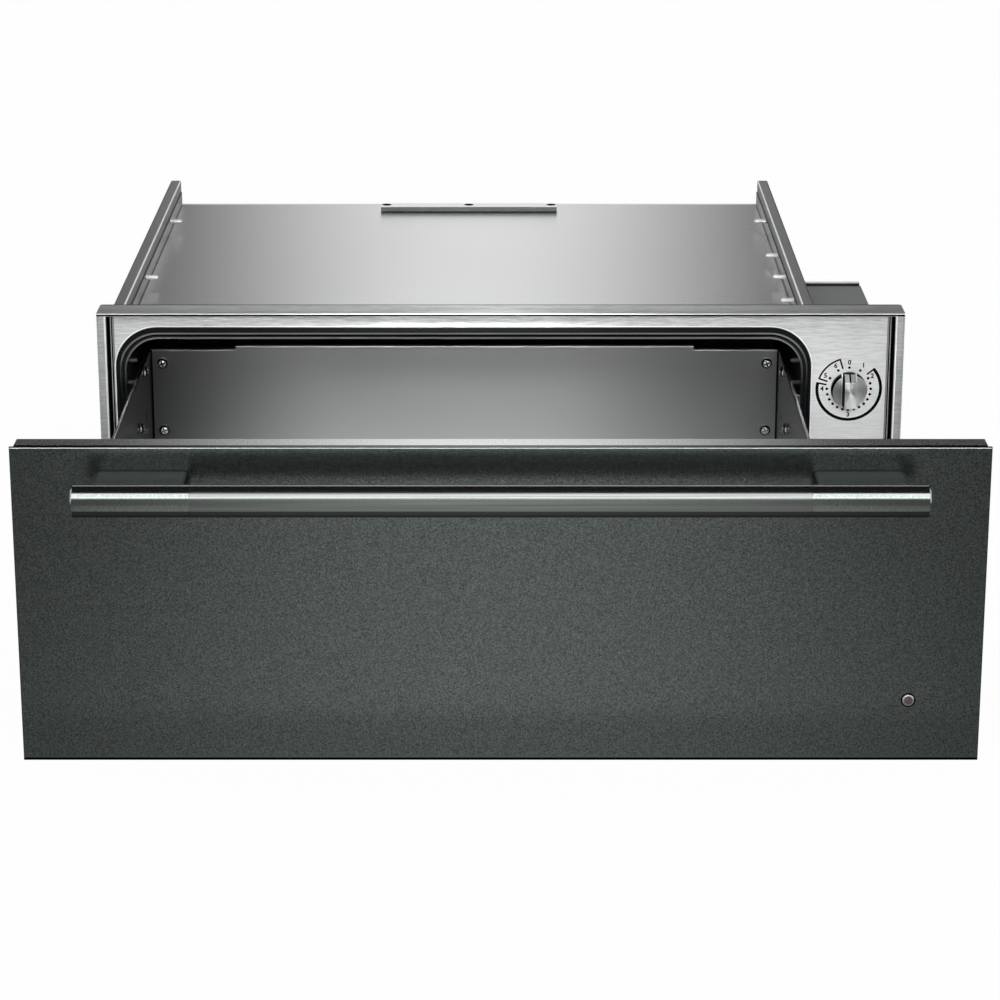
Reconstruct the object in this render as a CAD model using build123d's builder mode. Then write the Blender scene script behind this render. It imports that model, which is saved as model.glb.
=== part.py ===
from build123d import *
import math
import os

# A built-in warming drawer, drawn with its drawer at the open stop. Sizes are in millimetres.
# X runs across to the right, Y runs back into the cabinet and Z runs up. The origin is the
# middle of the front frame's lower front edge.

os.makedirs("parts", exist_ok=True)

# ------------------------------------------------------------------ driving sizes: sheet metal
SHEET = 1.2             # chassis and drawer sheet
BEND = 1.6              # radius of a fold, on the sheet's outer face
SOFT_GAP = 0.6          # air between an insulation blanket and the sheets round it
HOLE_GAP = 0.1          # radial air round a screw's shank

# ------------------------------------------------------------------ driving sizes: overall
FRONT_W = 755.65
FRONT_H = 259.0
FRAME_H = 225.0
CHASSIS_BACK = 567.0    # back end of the side walls
TRAVEL = 392.6

# ------------------------------------------------------------------ driving sizes: front frame
FRAME_IN = 15.825       # frame's side inside the drawer front's side
FRAME_D = 33.0
FRAME_LIP = 2.6         # height of the top flange's turned front edge
FRAME_EDGE_R = 0.5      # soft front edge of the top flange
FRAME_CORNER_R = 3.0    # rounded back corners of the flanges
STRIP_W = 8.2           # front face of each side strip
STRIP_TAB = 6.0         # from the strip to the end of its tab, behind the plate
PLATE_RECESS = 12.0     # face plate's front behind the frame's front
PLATE_GAP = 4.3         # groove between a side strip and the plate
PLATE_END_GAP = 0.6     # gap between the plate and a flange

# ------------------------------------------------------------------ driving sizes: mouth
MOUTH_LEFT = 2.0        # plate left of the opening
MOUTH_RIGHT = 69.0      # plate right of it, with the dial
OPENING_DROP = 15.6     # frame's edge to the opening's edge, top and bottom
OPENING_R = 38.0
GASKET_FIT = 0.3        # gap between the gasket and the plate's edge
GASKET_PROUD = 1.4      # gasket's front before the plate's front
GASKET_R = 1.0
RING_OVERLAP = 6.0      # ring's flange behind the plate
RING_STEP_1 = 4.8       # plate's front to the second step of the ring
RING_STEP_2 = 11.0      # second step to the last one
RING_SIDE = (3.0, 5.0, 7.5)     # inset of each step from the opening's edge, at the sides
RING_END = (5.0, 9.4, 15.4)     # and at the top and bottom
RING_R = (35.0, 33.0, 30.0)     # corner radius of each step

# ------------------------------------------------------------------ driving sizes: chassis
SIDE_T = 10.8           # a side wall, over both skins
COVER_DROP = 25.2       # frame's top to the top cover
COVER_FLANGE = 12.8     # cover's upturned edge, above the cover
COVER_IN = 5.0          # side walls' back end to the cover's
CAVITY_IN = 67.0        # side walls' back end to the cavity's back
CAVITY_BACK_FLANGE = 20.0
FLOOR_TOP = 20.0        # cavity's floor above the base
BASE_LIP = 12.0
BACK_PANEL_FLANGE = 12.0
BACK_BLANKET_T = 22.0

# ------------------------------------------------------------------ driving sizes: rear bracket
BRACKET_W = 184.7
BRACKET_D = 20.0
BRACKET_H = 5.6
BRACKET_T = 1.5
BRACKET_IN = 36.0       # side walls' back end to the bracket's middle
BRACKET_HOLE_R = 5.0
BRACKET_HOLE_STEP = 86.7
BRACKET_HOLE_BACK = 2.0 # holes behind the bracket's middle
BRACKET_HOLES = 3

# ------------------------------------------------------------------ driving sizes: control side
BOX_IN = 4.5            # control box's outer side inside the plate's edge
BOX_BACK = 208.0
BOX_BOTTOM = 40.0
BOX_SLIT = 3.5          # open line between the cover and the box's back wall
BOX_LIP = 3.0           # back wall above the cover
COVER_SKIRT = 11.0
DIAL_IN = 34.6          # plate's right edge to the dial's centre
DIAL_DROP = 73.2        # frame's top to the dial's centre
KNOB_R = 16.25
KNOB_LIFT = 1.0         # knob above the plate
KNOB_DISC_T = 5.0
KNOB_T = 12.0
KNOB_EDGE_R = 1.2
GRIP_W = 11.0
GRIP_SLOPE = 6.5
POINTER_W = 1.2
POINTER_T = 0.5
SHAFT_R = 3.0
SHAFT_FLAT = 2.2        # shaft's flat, from its axis
SHAFT_FIT = 0.05
SHAFT_IN_KNOB = 8.5
BUSH_R = 4.7
BUSH_FIT = 0.3
SWITCH_W = 44.0
SWITCH_H = 38.0
SWITCH_D = 28.0
SWITCH_R = 3.0
SHAFT_DEPTH = 22.0      # shaft inside the switch, behind the plate
BLADE_W = 6.3
BLADE_T = 0.8
BLADE_L = 8.0
BLADE_STEP = 14.0

# ------------------------------------------------------------------ driving sizes: heater
TUBE_R = 3.25
TUBE_LIFT = 4.0         # heater's underside above the cavity's floor
RUN_STEP = 95.0
RUNS = 4
RUN_FRONT = 70.0
RUN_BACK_GAP = 70.0     # cavity's back to the last bend
RUN_BEND_R = 36.0
HEATER_TAIL = 38.0      # terminals behind the cavity's back
CLIP_W = 14.0
CLIP_FOOT = 10.0
CLIP_FIT = 0.1
CLIP_ROWS = (150.0, 350.0)
BUSHING_R = 7.0
BUSHING_FLANGE_R = 10.0
BUSHING_FLANGE_T = 3.0
BUSHING_TAIL = 6.0
LIMIT_R = 9.5
LIMIT_T = 8.0
LIMIT_EAR = 38.0
LIMIT_EAR_W = 12.0

# ------------------------------------------------------------------ driving sizes: supply
GLAND_IN = 50.0         # left cavity wall to the gland
GLAND_Z = 60.0
GLAND_BORE_R = 6.0
GLAND_R = 10.0
GLAND_NUT = 26.0        # across the nut's flats
GLAND_NUT_T = 6.0
GLAND_BODY_L = 22.0
BLOCK_IN = 115.0        # left cavity wall to the terminal block
BLOCK_W = 54.0
BLOCK_H = 24.0
BLOCK_D = 20.0
BLOCK_POLES = 3
BLOCK_WELL_R = 4.5
BLOCK_WELL_D = 9.0

# ------------------------------------------------------------------ driving sizes: slides
SLIDE_DROP = 49.9       # drawer walls' top to the slides' middle
MEMBER_T = 1.4
MEMBER_BEND = 2.2
MEMBER_LIP = 2.5
RACE_GAP = 0.15         # air on each side of a ball
OUTER_HALF = 22.5       # half height of the fixed member
OUTER_REACH = 11.3
MIDDLE_HALF = 16.2
MIDDLE_OFF = 2.4        # middle member's web off the cavity wall
MIDDLE_REACH = 8.6
MIDDLE_LIP = 2.3
INNER_HALF = 11.1
INNER_REACH = 9.6
CAGE_T = 0.5
CAGE_BEND = 0.8
CAGE_L = 200.0
OUTER_CAGE_OFF = 1.65
OUTER_CAGE_REACH = 7.75
OUTER_BALL_OFF = 6.0
INNER_CAGE_OFF = 4.2
INNER_CAGE_REACH = 5.0
INNER_BALL_OFF = 6.95
BALLS_IN_ROW = 4
BALL_STEP = 50.0
BALL_FIT = 0.05
OUTER_FRONT = 31.0      # front ends of the members with the drawer shut
MIDDLE_FRONT = 28.0
INNER_FRONT = 25.0
OUTER_END_GAP = 9.0     # back ends short of the cavity's back with the drawer shut
MIDDLE_END_GAP = 12.0
INNER_END_GAP = 20.0
CAGE_MID = 258.0        # middle of a cage with the drawer shut

# ------------------------------------------------------------------ driving sizes: drawer front
CLOSED_GAP = 3.0        # front's back face to the frame with the drawer shut
FRONT_T = 27.8
FRONT_RISE = 4.0        # front's top above the frame's top
SKIN_T = 1.2
SKIN_D = 3.0            # depth of the skin's turned edge
SKIN_R = 1.0
BODY_SIDE_GAP = 2.3     # skin's edge to the body behind it, at the sides
BODY_END_GAP = 1.5      # and at the top and bottom
LINER_MARGIN = 4.0      # liner beyond the opening's edge
LINER_T = 1.0
LINER_R = 3.0
SEAL_GAP = 0.3

# ------------------------------------------------------------------ driving sizes: handle
BAR_R = 12.5
BAR_BORE_R = 10.5
BAR_DROP = 27.0         # front's top to the bar's axis
BAR_OFF = 50.0          # front's face to the bar's axis
BAR_IN = 53.825         # front's side to the bar's end
FERRULE_L = 89.5
END_CHAMFER = 1.2
JOINT_GAP = 0.3
SPIGOT_L = 15.0
SPIGOT_FIT = 0.05
POST_W = 72.0
POST_H = 17.0
POST_R = 4.5
POST_IN = 48.0          # bar's end to the post's middle
POST_SCREW_STEP = 40.0
HANDLE_SCREW_R = 2.5
HANDLE_SCREW_HEAD_R = 4.5
HANDLE_SCREW_HEAD_T = 3.0
HANDLE_SCREW_BITE = 9.0
SADDLE_GAP = 0.05
CLEAR_R = 7.0           # hole in the blanket round a screw head or the lamp

# ------------------------------------------------------------------ driving sizes: lamp
LAMP_IN = 57.0          # front's right side to the lamp
LAMP_RISE = 51.1        # front's lower edge to the lamp
BEZEL_R = 4.7
BEZEL_PROUD = 1.5
BARREL_R = 3.8
BARREL_L = 9.0
LENS_R = 3.1
LENS_PROUD = 2.2
LENS_L = 7.0
LAMP_L = 14.0
LAMP_FIT = 0.1

# ------------------------------------------------------------------ driving sizes: drawer box
SLIDE_ROOM = 14.8       # for a slide, between the drawer and the cavity's wall
HEM_W = 3.5
HEM_H = 7.0
WALL_DROP = 60.6        # front's top to the drawer walls' top
DRAWER_BOTTOM = 38.0
BACK_GAP = 19.9         # drawer's back wall to the cavity's back with the drawer shut
BACK_RAISE = 3.5
BACK_RAISE_IN = 78.5    # drawer's side to the raised stretch of its back wall
BACK_HEM_D = 4.8
BACK_HEM_H = 6.5
FLOOR_SHELF = 12.5      # inward flange under the drawer's floor
BACK_FIT = 0.2
FLOOR_FIT = 1.7         # floor short of a side, so that it clears the fold
END_FLANGE = 22.0
END_FLANGE_INSET = 10.0
SIDE_HOLE_R = 4.0
SIDE_HOLE_AHEAD = 51.0  # drawer's back wall to the hole in a side
SCREW_R = 2.0
SCREW_HEAD_R = 5.0
SCREW_HEAD_T = 3.0
SCREW_TAIL = 3.0
SCREW_INSET = 10.5
BACK_SCREW_DROPS = (13.3, 78.0)
FRONT_SCREW_DROP = 26.4
FRONT_SCREW_RISE = 22.8  # lower pair above the drawer's floor

# ------------------------------------------------------------------ driving sizes: side screws
PIN_R = 1.9
PIN_TIP = 4.0
PIN_REACH = 9.5         # point inside the side wall's inner face
PIN_HEAD_R = 4.0
PIN_HEAD_T = 2.4
PIN_RISE = 10.0         # above the top cover
LEFT_PIN_ROWS = (197.0, 436.0)
RIGHT_PIN_ROWS = (108.0, 198.0, 286.0, 436.0)
MOUTH_PIN_Y = 38.0
MOUTH_PIN_DROP = 53.6   # frame's top to the two screws just inside the mouth

# ------------------------------------------------------------------ places that follow
FRAME_W = FRONT_W - 2 * FRAME_IN
frame_top = FRAME_H
frame_inner_top = FRAME_H - SHEET
strip_inner = FRAME_W / 2 - STRIP_W
plate_front = PLATE_RECESS
plate_back = plate_front + SHEET
plate_half = strip_inner - PLATE_GAP
# the opening, the cavity and the drawer box share one middle, left of the frame's
MOUTH_X = (MOUTH_LEFT - MOUTH_RIGHT) / 2
OPENING_W = 2 * plate_half - MOUTH_LEFT - MOUTH_RIGHT
panel_front = plate_back + SHEET
opening_mid_z = FRAME_H / 2
opening_h = FRAME_H - 2 * OPENING_DROP
ring_back = plate_back + RING_STEP_1 + RING_STEP_2 + SHEET
cavity_half = OPENING_W / 2 - RING_SIDE[2]
wall_left = MOUTH_X - cavity_half
wall_right = MOUTH_X + cavity_half
ceiling_z = FRAME_H - OPENING_DROP - RING_END[2]
cover_top = FRAME_H - COVER_DROP
cover_under = cover_top - SHEET
COVER_BACK = CHASSIS_BACK - COVER_IN
CAVITY_BACK = CHASSIS_BACK - CAVITY_IN
bracket_y = CHASSIS_BACK - BRACKET_IN
back_panel_front = COVER_BACK - 2 * SHEET
limit_z = (FLOOR_TOP + ceiling_z) / 2
gland_x = wall_left + GLAND_IN
terminal_x = wall_left + BLOCK_IN
dial_x = plate_half - DIAL_IN
dial_z = FRAME_H - DIAL_DROP
heater_z = FLOOR_TOP + TUBE_LIFT + TUBE_R
box_right = plate_half - BOX_IN

front_back = -(TRAVEL + CLOSED_GAP)
front_face = front_back - FRONT_T
skin_inner = front_face + SKIN_T
front_top = FRAME_H + FRONT_RISE
front_bottom = front_top - FRONT_H
front_mid_z = (front_top + front_bottom) / 2
gasket_front = plate_front - GASKET_PROUD
liner_depth = gasket_front + CLOSED_GAP - SEAL_GAP
liner_back = front_back + liner_depth
lamp_x = FRONT_W / 2 - LAMP_IN
bar_half = FRONT_W / 2 - BAR_IN
post_mid = bar_half - POST_IN
bar_y = front_face - BAR_OFF
bar_z = front_top - BAR_DROP
tube_half = bar_half - FERRULE_L
lamp_z = front_bottom + LAMP_RISE
BOX_HALF = cavity_half - SLIDE_ROOM - SHEET
wall_top = front_top - WALL_DROP
slide_z = wall_top - SLIDE_DROP
BACK_IN = CAVITY_BACK - BACK_GAP - TRAVEL
floor_under = DRAWER_BOTTOM + SHEET
back_out = BACK_IN + SHEET
front_screw_heights = (wall_top - FRONT_SCREW_DROP, floor_under + FRONT_SCREW_RISE)
back_screw_heights = [wall_top - drop for drop in BACK_SCREW_DROPS]
drawer_left = MOUTH_X - BOX_HALF
drawer_right = MOUTH_X + BOX_HALF
pin_z = cover_top + PIN_RISE
mouth_pin_z = FRAME_H - MOUTH_PIN_DROP

FRONT_MIDDLE = Plane.YZ
CAVITY_MIDDLE = Plane.YZ.offset(MOUTH_X)


# ------------------------------------------------------------------ shared makers
def write(piece, name):
    """Labels a finished piece and writes its file."""
    piece.part.label = name
    export_step(piece.part, f"parts/{name}.step")


def write_pair(piece, name, middle):
    """Writes a left piece, and the right one as its mirror image about the middle plane."""
    write(piece, f"{name}_left")
    with BuildPart() as opposite:
        mirror(piece.part, about=middle)
    write(opposite, f"{name}_right")


def fold(points, side, thickness=SHEET, radius=BEND):
    """Section of a folded sheet: one face is the line through the points, with a radius at each fold."""
    with BuildLine() as face:
        FilletPolyline(*points, radius=radius)
        offset(amount=thickness, side=side)
    make_face(face.edges())


def across(y_start):
    """Plane of a section seen from the front; it is extruded from y_start towards the front."""
    return Plane.XZ.offset(-y_start)


def block(x, y, z, mode=Mode.ADD):
    """A plain block between two values along each axis."""
    with Locations(((x[0] + x[1]) / 2, (y[0] + y[1]) / 2, (z[0] + z[1]) / 2)):
        Box(x[1] - x[0], y[1] - y[0], z[1] - z[0], mode=mode)


def rod(axis_point, direction, radius, length, mode=Mode.ADD):
    """A round bar that starts at a point and runs along a direction."""
    with BuildSketch(Plane(origin=axis_point, z_dir=direction)) as section:
        Circle(radius)
    extrude(section.sketch, amount=length, mode=mode)


def ring_outline(side_inset, end_inset, radius, mode=Mode.ADD):
    """Rounded rectangle set in from the opening's edge."""
    RectangleRounded(OPENING_W - 2 * side_inset, opening_h - 2 * end_inset, radius, mode=mode)


def mouth_plane(y_start):
    """Plane across the mouth, centred on the opening."""
    return Plane(origin=(MOUTH_X, y_start, opening_mid_z), x_dir=(1, 0, 0), z_dir=(0, -1, 0))


def mouth_band(outer, inner, y_from, y_to):
    """A band round the mouth between two outlines, from y_from back to y_to."""
    with BuildSketch(mouth_plane(y_to)) as band:
        ring_outline(*outer)
        ring_outline(*inner, mode=Mode.SUBTRACT)
    extrude(band.sketch, amount=y_to - y_from)


# ------------------------------------------------------------------ front frame
def trim_lip(z_from, z_to):
    """Ends a flange's lip at the side strips, which stand up to the flange itself."""
    for x in ((-FRAME_W / 2, -strip_inner), (strip_inner, FRAME_W / 2)):
        block(x, (0, FRAME_D), (z_from, z_to), mode=Mode.SUBTRACT)


with BuildPart() as frame_top_flange:
    with BuildSketch(Plane.YZ.offset(-FRAME_W / 2)):
        with BuildLine():
            Polyline((FRAME_D, frame_top), (0, frame_top), (0, frame_top - FRAME_LIP))
            offset(amount=SHEET, side=Side.LEFT)
        make_face()
    extrude(amount=FRAME_W)
    corners = frame_top_flange.edges().filter_by(Axis.Z).group_by(Axis.Y)[-1]
    fillet(corners, FRAME_CORNER_R)
    trim_lip(frame_inner_top - FRAME_LIP, frame_inner_top)
    front_edge = frame_top_flange.edges().filter_by(Axis.X).group_by(Axis.Y)[0].sort_by(Axis.Z)[-1]
    fillet(front_edge, FRAME_EDGE_R)
write(frame_top_flange, "frame_top_flange")

with BuildPart() as frame_bottom_flange:
    with BuildSketch(Plane.YZ.offset(-FRAME_W / 2)):
        with BuildLine():
            Polyline((FRAME_D, 0), (0, 0), (0, FRAME_LIP))
            offset(amount=SHEET, side=Side.RIGHT)
        make_face()
    extrude(amount=FRAME_W)
    corners = frame_bottom_flange.edges().filter_by(Axis.Z).group_by(Axis.Y)[-1]
    fillet(corners, FRAME_CORNER_R)
    trim_lip(SHEET, SHEET + FRAME_LIP)
write(frame_bottom_flange, "frame_bottom_flange")

with BuildPart() as frame_side:
    with BuildSketch(Plane.XY.offset(SHEET)):
        fold(
            [
                (-FRAME_W / 2, FRAME_D),
                (-FRAME_W / 2, 0),
                (-strip_inner, 0),
                (-strip_inner, plate_back),
                (-strip_inner + STRIP_TAB, plate_back),
            ],
            Side.LEFT,
        )
    extrude(amount=FRAME_H - 2 * SHEET)
write_pair(frame_side, "frame_side", FRONT_MIDDLE)

with BuildPart() as face_plate:
    with BuildSketch(across(plate_back)) as plate_outline:
        with Locations((0, opening_mid_z)):
            Rectangle(2 * plate_half, FRAME_H - 2 * (SHEET + PLATE_END_GAP))
        with Locations((MOUTH_X, opening_mid_z)):
            RectangleRounded(OPENING_W, opening_h, OPENING_R, mode=Mode.SUBTRACT)
        with Locations((dial_x, dial_z)):
            Circle(BUSH_R + BUSH_FIT, mode=Mode.SUBTRACT)
    extrude(amount=SHEET)
write(face_plate, "face_plate")

# ------------------------------------------------------------------ mouth of the cavity
# The ring is one pressed sheet: a flange behind the plate, then three steps back into the
# mouth. The walls between the steps are tubes one sheet thick.
ring_insets = [(RING_SIDE[i], RING_END[i], RING_R[i]) for i in range(3)]
ring_outsides = [(s - SHEET, e - SHEET, r + SHEET) for s, e, r in ring_insets]
ring_flange = (-RING_OVERLAP, -RING_OVERLAP, OPENING_R + RING_OVERLAP)
step_1 = plate_back + RING_STEP_1
step_2 = step_1 + RING_STEP_2

with BuildPart() as mouth_gasket:
    with BuildSketch(mouth_plane(plate_back)):
        ring_outline(GASKET_FIT, GASKET_FIT, OPENING_R - GASKET_FIT)
        ring_outline(*ring_insets[0], mode=Mode.SUBTRACT)
    extrude(amount=plate_back - gasket_front)
    fillet(mouth_gasket.faces().sort_by(Axis.Y)[0].edges(), GASKET_R)
write(mouth_gasket, "mouth_gasket")

with BuildPart() as mouth_ring:
    mouth_band(ring_flange, ring_insets[0], plate_back, plate_back + SHEET)
    # the flange stops short of the frame's tab on the left
    tab_end = -strip_inner + STRIP_TAB + PLATE_END_GAP
    block((-strip_inner, tab_end), (plate_back, plate_back + SHEET), (0, FRAME_H), mode=Mode.SUBTRACT)
    mouth_band(ring_outsides[0], ring_insets[0], plate_back, step_1 + SHEET)
    mouth_band(ring_outsides[0], ring_insets[1], step_1, step_1 + SHEET)
    mouth_band(ring_outsides[1], ring_insets[1], step_1, step_2 + SHEET)
    mouth_band(ring_outsides[1], ring_insets[2], step_2, step_2 + SHEET)
write(mouth_ring, "mouth_ring")

# ------------------------------------------------------------------ side walls
# Each side wall is an outer skin folded round a blanket and closed by the flat liner. Its
# screws hold the upturned edges of the top cover, and their points stand inside it.
skin_left = wall_left - SIDE_T
liner_out = wall_left - SHEET
left_pins = [(y, pin_z) for y in LEFT_PIN_ROWS] + [(MOUTH_PIN_Y, mouth_pin_z)]
right_pins = [(y, pin_z) for y in RIGHT_PIN_ROWS] + [(MOUTH_PIN_Y, mouth_pin_z)]


def pin_holes(pins):
    """Cuts a way through the left side wall for each screw."""
    for y, z in pins:
        start = (skin_left - SIDE_T, y, z)
        rod(start, (1, 0, 0), PIN_R + HOLE_GAP, 3 * SIDE_T, mode=Mode.SUBTRACT)


def mouth_notch():
    """Cuts the front of the left side wall back to make room for the mouth's ring."""
    notch_z = (OPENING_DROP, FRAME_H - OPENING_DROP)
    block((skin_left - SIDE_T, wall_left + SIDE_T), (plate_back, ring_back), notch_z, mode=Mode.SUBTRACT)


def side_skin(pins):
    """The left outer skin: a channel open towards the cavity, closed at its back end."""
    with BuildPart() as skin:
        with BuildSketch(across(CHASSIS_BACK)):
            fold(
                [
                    (liner_out, frame_inner_top),
                    (skin_left, frame_inner_top),
                    (skin_left, SHEET),
                    (liner_out, SHEET),
                ],
                Side.LEFT,
            )
        extrude(amount=CHASSIS_BACK - panel_front)
        block(
            (skin_left + SHEET, liner_out),
            (CHASSIS_BACK - SHEET, CHASSIS_BACK),
            (2 * SHEET, frame_inner_top - SHEET),
        )
        mouth_notch()
        pin_holes(pins)
    return skin


def side_liner(pins):
    """The left liner: the flat inner skin, which is also the cavity's wall."""
    with BuildPart() as liner:
        block((liner_out, wall_left), (panel_front, CHASSIS_BACK), (SHEET, frame_inner_top))
        mouth_notch()
        pin_holes(pins)
    return liner


def side_blanket(pins):
    """The left blanket between the two skins."""
    with BuildPart() as blanket:
        block(
            (skin_left + SHEET + SOFT_GAP, liner_out - SOFT_GAP),
            (panel_front, CHASSIS_BACK - SHEET - SOFT_GAP),
            (2 * SHEET + SOFT_GAP, frame_inner_top - SHEET - SOFT_GAP),
        )
        mouth_notch()
        pin_holes(pins)
    return blanket


def side_pins(pins):
    """The left wall's screws: head outside, shank through the wall, point inside."""
    with BuildPart() as screws:
        with Locations(*[(skin_left, y, z) for y, z in pins]):
            with BuildSketch(Plane.XZ, mode=Mode.PRIVATE) as half:
                with BuildLine():
                    Polyline(
                        (-PIN_HEAD_T, 0),
                        (-PIN_HEAD_T, PIN_HEAD_R / 2),
                        (-PIN_HEAD_T / 2, PIN_HEAD_R),
                        (0, PIN_HEAD_R),
                        (0, PIN_R),
                        (SIDE_T + PIN_REACH - PIN_TIP, PIN_R),
                        (SIDE_T + PIN_REACH, 0),
                        close=True,
                    )
                make_face()
            add(revolve(half.sketch, axis=Axis.X, mode=Mode.PRIVATE))
    return screws


def right_of(piece):
    """The mirror image of a left piece about the cavity's middle."""
    with BuildPart() as opposite:
        mirror(piece.part, about=CAVITY_MIDDLE)
    return opposite


write(side_skin(left_pins), "side_skin_left")
write(right_of(side_skin(right_pins)), "side_skin_right")
write(side_liner(left_pins), "side_liner_left")
write(right_of(side_liner(right_pins)), "side_liner_right")

with BuildPart() as panel_screws:
    add(side_pins(left_pins).part)
    add(right_of(side_pins(right_pins)).part)
write(panel_screws, "panel_screws")

# ------------------------------------------------------------------ top cover and inner box
with BuildPart() as top_cover:
    with BuildSketch(across(COVER_BACK)):
        fold(
            [
                (wall_left, cover_top + COVER_FLANGE),
                (wall_left, cover_under),
                (wall_right, cover_under),
                (wall_right, cover_top + COVER_FLANGE),
            ],
            Side.LEFT,
        )
    extrude(amount=COVER_BACK - ring_back)
    for y, z in left_pins:
        rod((wall_left - SHEET, y, z), (1, 0, 0), PIN_R + HOLE_GAP, 3 * SHEET, mode=Mode.SUBTRACT)
    for y, z in right_pins:
        rod((wall_right + SHEET, y, z), (-1, 0, 0), PIN_R + HOLE_GAP, 3 * SHEET, mode=Mode.SUBTRACT)
write(top_cover, "top_cover")

inner_box_back = CAVITY_BACK + CAVITY_BACK_FLANGE
with BuildPart() as cavity_ceiling:
    with BuildSketch(across(inner_box_back)):
        fold(
            [
                (wall_left, cover_under),
                (wall_left, ceiling_z),
                (wall_right, ceiling_z),
                (wall_right, cover_under),
            ],
            Side.LEFT,
        )
    extrude(amount=inner_box_back - ring_back)
write(cavity_ceiling, "cavity_ceiling")

with BuildPart() as cavity_floor:
    with BuildSketch(across(inner_box_back)):
        fold(
            [
                (wall_left, SHEET),
                (wall_left, FLOOR_TOP),
                (wall_right, FLOOR_TOP),
                (wall_right, SHEET),
            ],
            Side.RIGHT,
        )
    extrude(amount=inner_box_back - ring_back)
write(cavity_floor, "cavity_floor")

run_span = (RUNS - 1) * RUN_STEP
run_left = MOUTH_X - run_span / 2
heater_ends = (run_left, run_left + run_span)

with BuildPart() as cavity_back:
    with BuildSketch(Plane.XY.offset(FLOOR_TOP)):
        fold(
            [
                (wall_left, inner_box_back),
                (wall_left, CAVITY_BACK),
                (wall_right, CAVITY_BACK),
                (wall_right, inner_box_back),
            ],
            Side.LEFT,
        )
    extrude(amount=ceiling_z - FLOOR_TOP)
    for x in heater_ends:
        rod((x, CAVITY_BACK - SHEET, heater_z), (0, 1, 0), BUSHING_R + HOLE_GAP, 3 * SHEET, mode=Mode.SUBTRACT)
write(cavity_back, "cavity_back")

with BuildPart() as cavity_insulation:
    add(side_blanket(left_pins).part)
    add(right_of(side_blanket(right_pins)).part)
    blanket_x = (wall_left + SHEET + SOFT_GAP, wall_right - SHEET - SOFT_GAP)
    blanket_y = (ring_back, inner_box_back)
    block(blanket_x, blanket_y, (ceiling_z + SHEET, cover_under - SOFT_GAP))
    block(blanket_x, blanket_y, (SHEET, FLOOR_TOP - SHEET - SOFT_GAP))
    blanket_back = CAVITY_BACK + SHEET + BACK_BLANKET_T
    block(blanket_x, (CAVITY_BACK + SHEET, blanket_back), (FLOOR_TOP + SOFT_GAP, ceiling_z - SOFT_GAP))
    for x in heater_ends:
        rod((x, CAVITY_BACK, heater_z), (0, 1, 0), BUSHING_R + SOFT_GAP, 2 * BACK_BLANKET_T, mode=Mode.SUBTRACT)
    block(
        (MOUTH_X - LIMIT_EAR / 2 - SOFT_GAP, MOUTH_X + LIMIT_EAR / 2 + SOFT_GAP),
        (CAVITY_BACK + SHEET, blanket_back),
        (limit_z - LIMIT_R - SOFT_GAP, limit_z + LIMIT_R + SOFT_GAP),
        mode=Mode.SUBTRACT,
    )
write(cavity_insulation, "cavity_insulation")

# ------------------------------------------------------------------ base, back and rear bracket
with BuildPart() as base_pan:
    with BuildSketch(Plane.YZ.offset(skin_left)):
        fold([(FRAME_D, 0), (COVER_BACK, 0), (COVER_BACK, BASE_LIP)], Side.LEFT)
    extrude(amount=box_right - skin_left)
    # the lip stands only between the side walls
    block((skin_left, wall_left), (COVER_BACK - 2 * BEND, COVER_BACK), (SHEET, BASE_LIP), mode=Mode.SUBTRACT)
    block((wall_right, box_right), (COVER_BACK - 2 * BEND, COVER_BACK), (SHEET, BASE_LIP), mode=Mode.SUBTRACT)
write(base_pan, "base_pan")

with BuildPart() as back_panel:
    with BuildSketch(Plane.YZ.offset(wall_left)):
        fold(
            [
                (back_panel_front + SHEET, BEND),
                (back_panel_front + SHEET, cover_under),
                (back_panel_front + SHEET - BACK_PANEL_FLANGE, cover_under),
            ],
            Side.LEFT,
        )
    extrude(amount=2 * cavity_half)
    rod(
        (gland_x, back_panel_front - SHEET, GLAND_Z),
        (0, 1, 0),
        GLAND_R + HOLE_GAP,
        3 * SHEET,
        mode=Mode.SUBTRACT,
    )
write(back_panel, "back_panel")

bracket_front = bracket_y - BRACKET_D / 2
bracket_back = bracket_y + BRACKET_D / 2
bracket_top = cover_top + BRACKET_H
with BuildPart() as rear_bracket:
    with BuildSketch(Plane.YZ.offset(MOUTH_X - BRACKET_W / 2)):
        fold(
            [
                (bracket_back, cover_top),
                (bracket_back, bracket_top),
                (bracket_front, bracket_top),
                (bracket_front, cover_top),
            ],
            Side.LEFT,
            thickness=BRACKET_T,
            radius=BRACKET_T + HOLE_GAP,
        )
    extrude(amount=BRACKET_W)
    with Locations((MOUTH_X, bracket_y + BRACKET_HOLE_BACK, bracket_top)):
        with GridLocations(BRACKET_HOLE_STEP, 0, BRACKET_HOLES, 1):
            Hole(BRACKET_HOLE_R, depth=2 * BRACKET_T)
write(rear_bracket, "rear_bracket")

# ------------------------------------------------------------------ control box and heat control
box_left = wall_right + SIDE_T
box_wall = box_right - SHEET
box_wall_top = cover_under - (BEND - SHEET)
with BuildPart() as control_box:
    with BuildSketch(across(BOX_BACK)):
        fold([(box_left, BOX_BOTTOM), (box_wall, BOX_BOTTOM), (box_wall, box_wall_top)], Side.LEFT)
    extrude(amount=BOX_BACK - panel_front)
    block((box_left, box_wall), (BOX_BACK - SHEET, BOX_BACK), (BOX_BOTTOM + BEND, cover_top + BOX_LIP))
write(control_box, "control_box")

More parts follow.
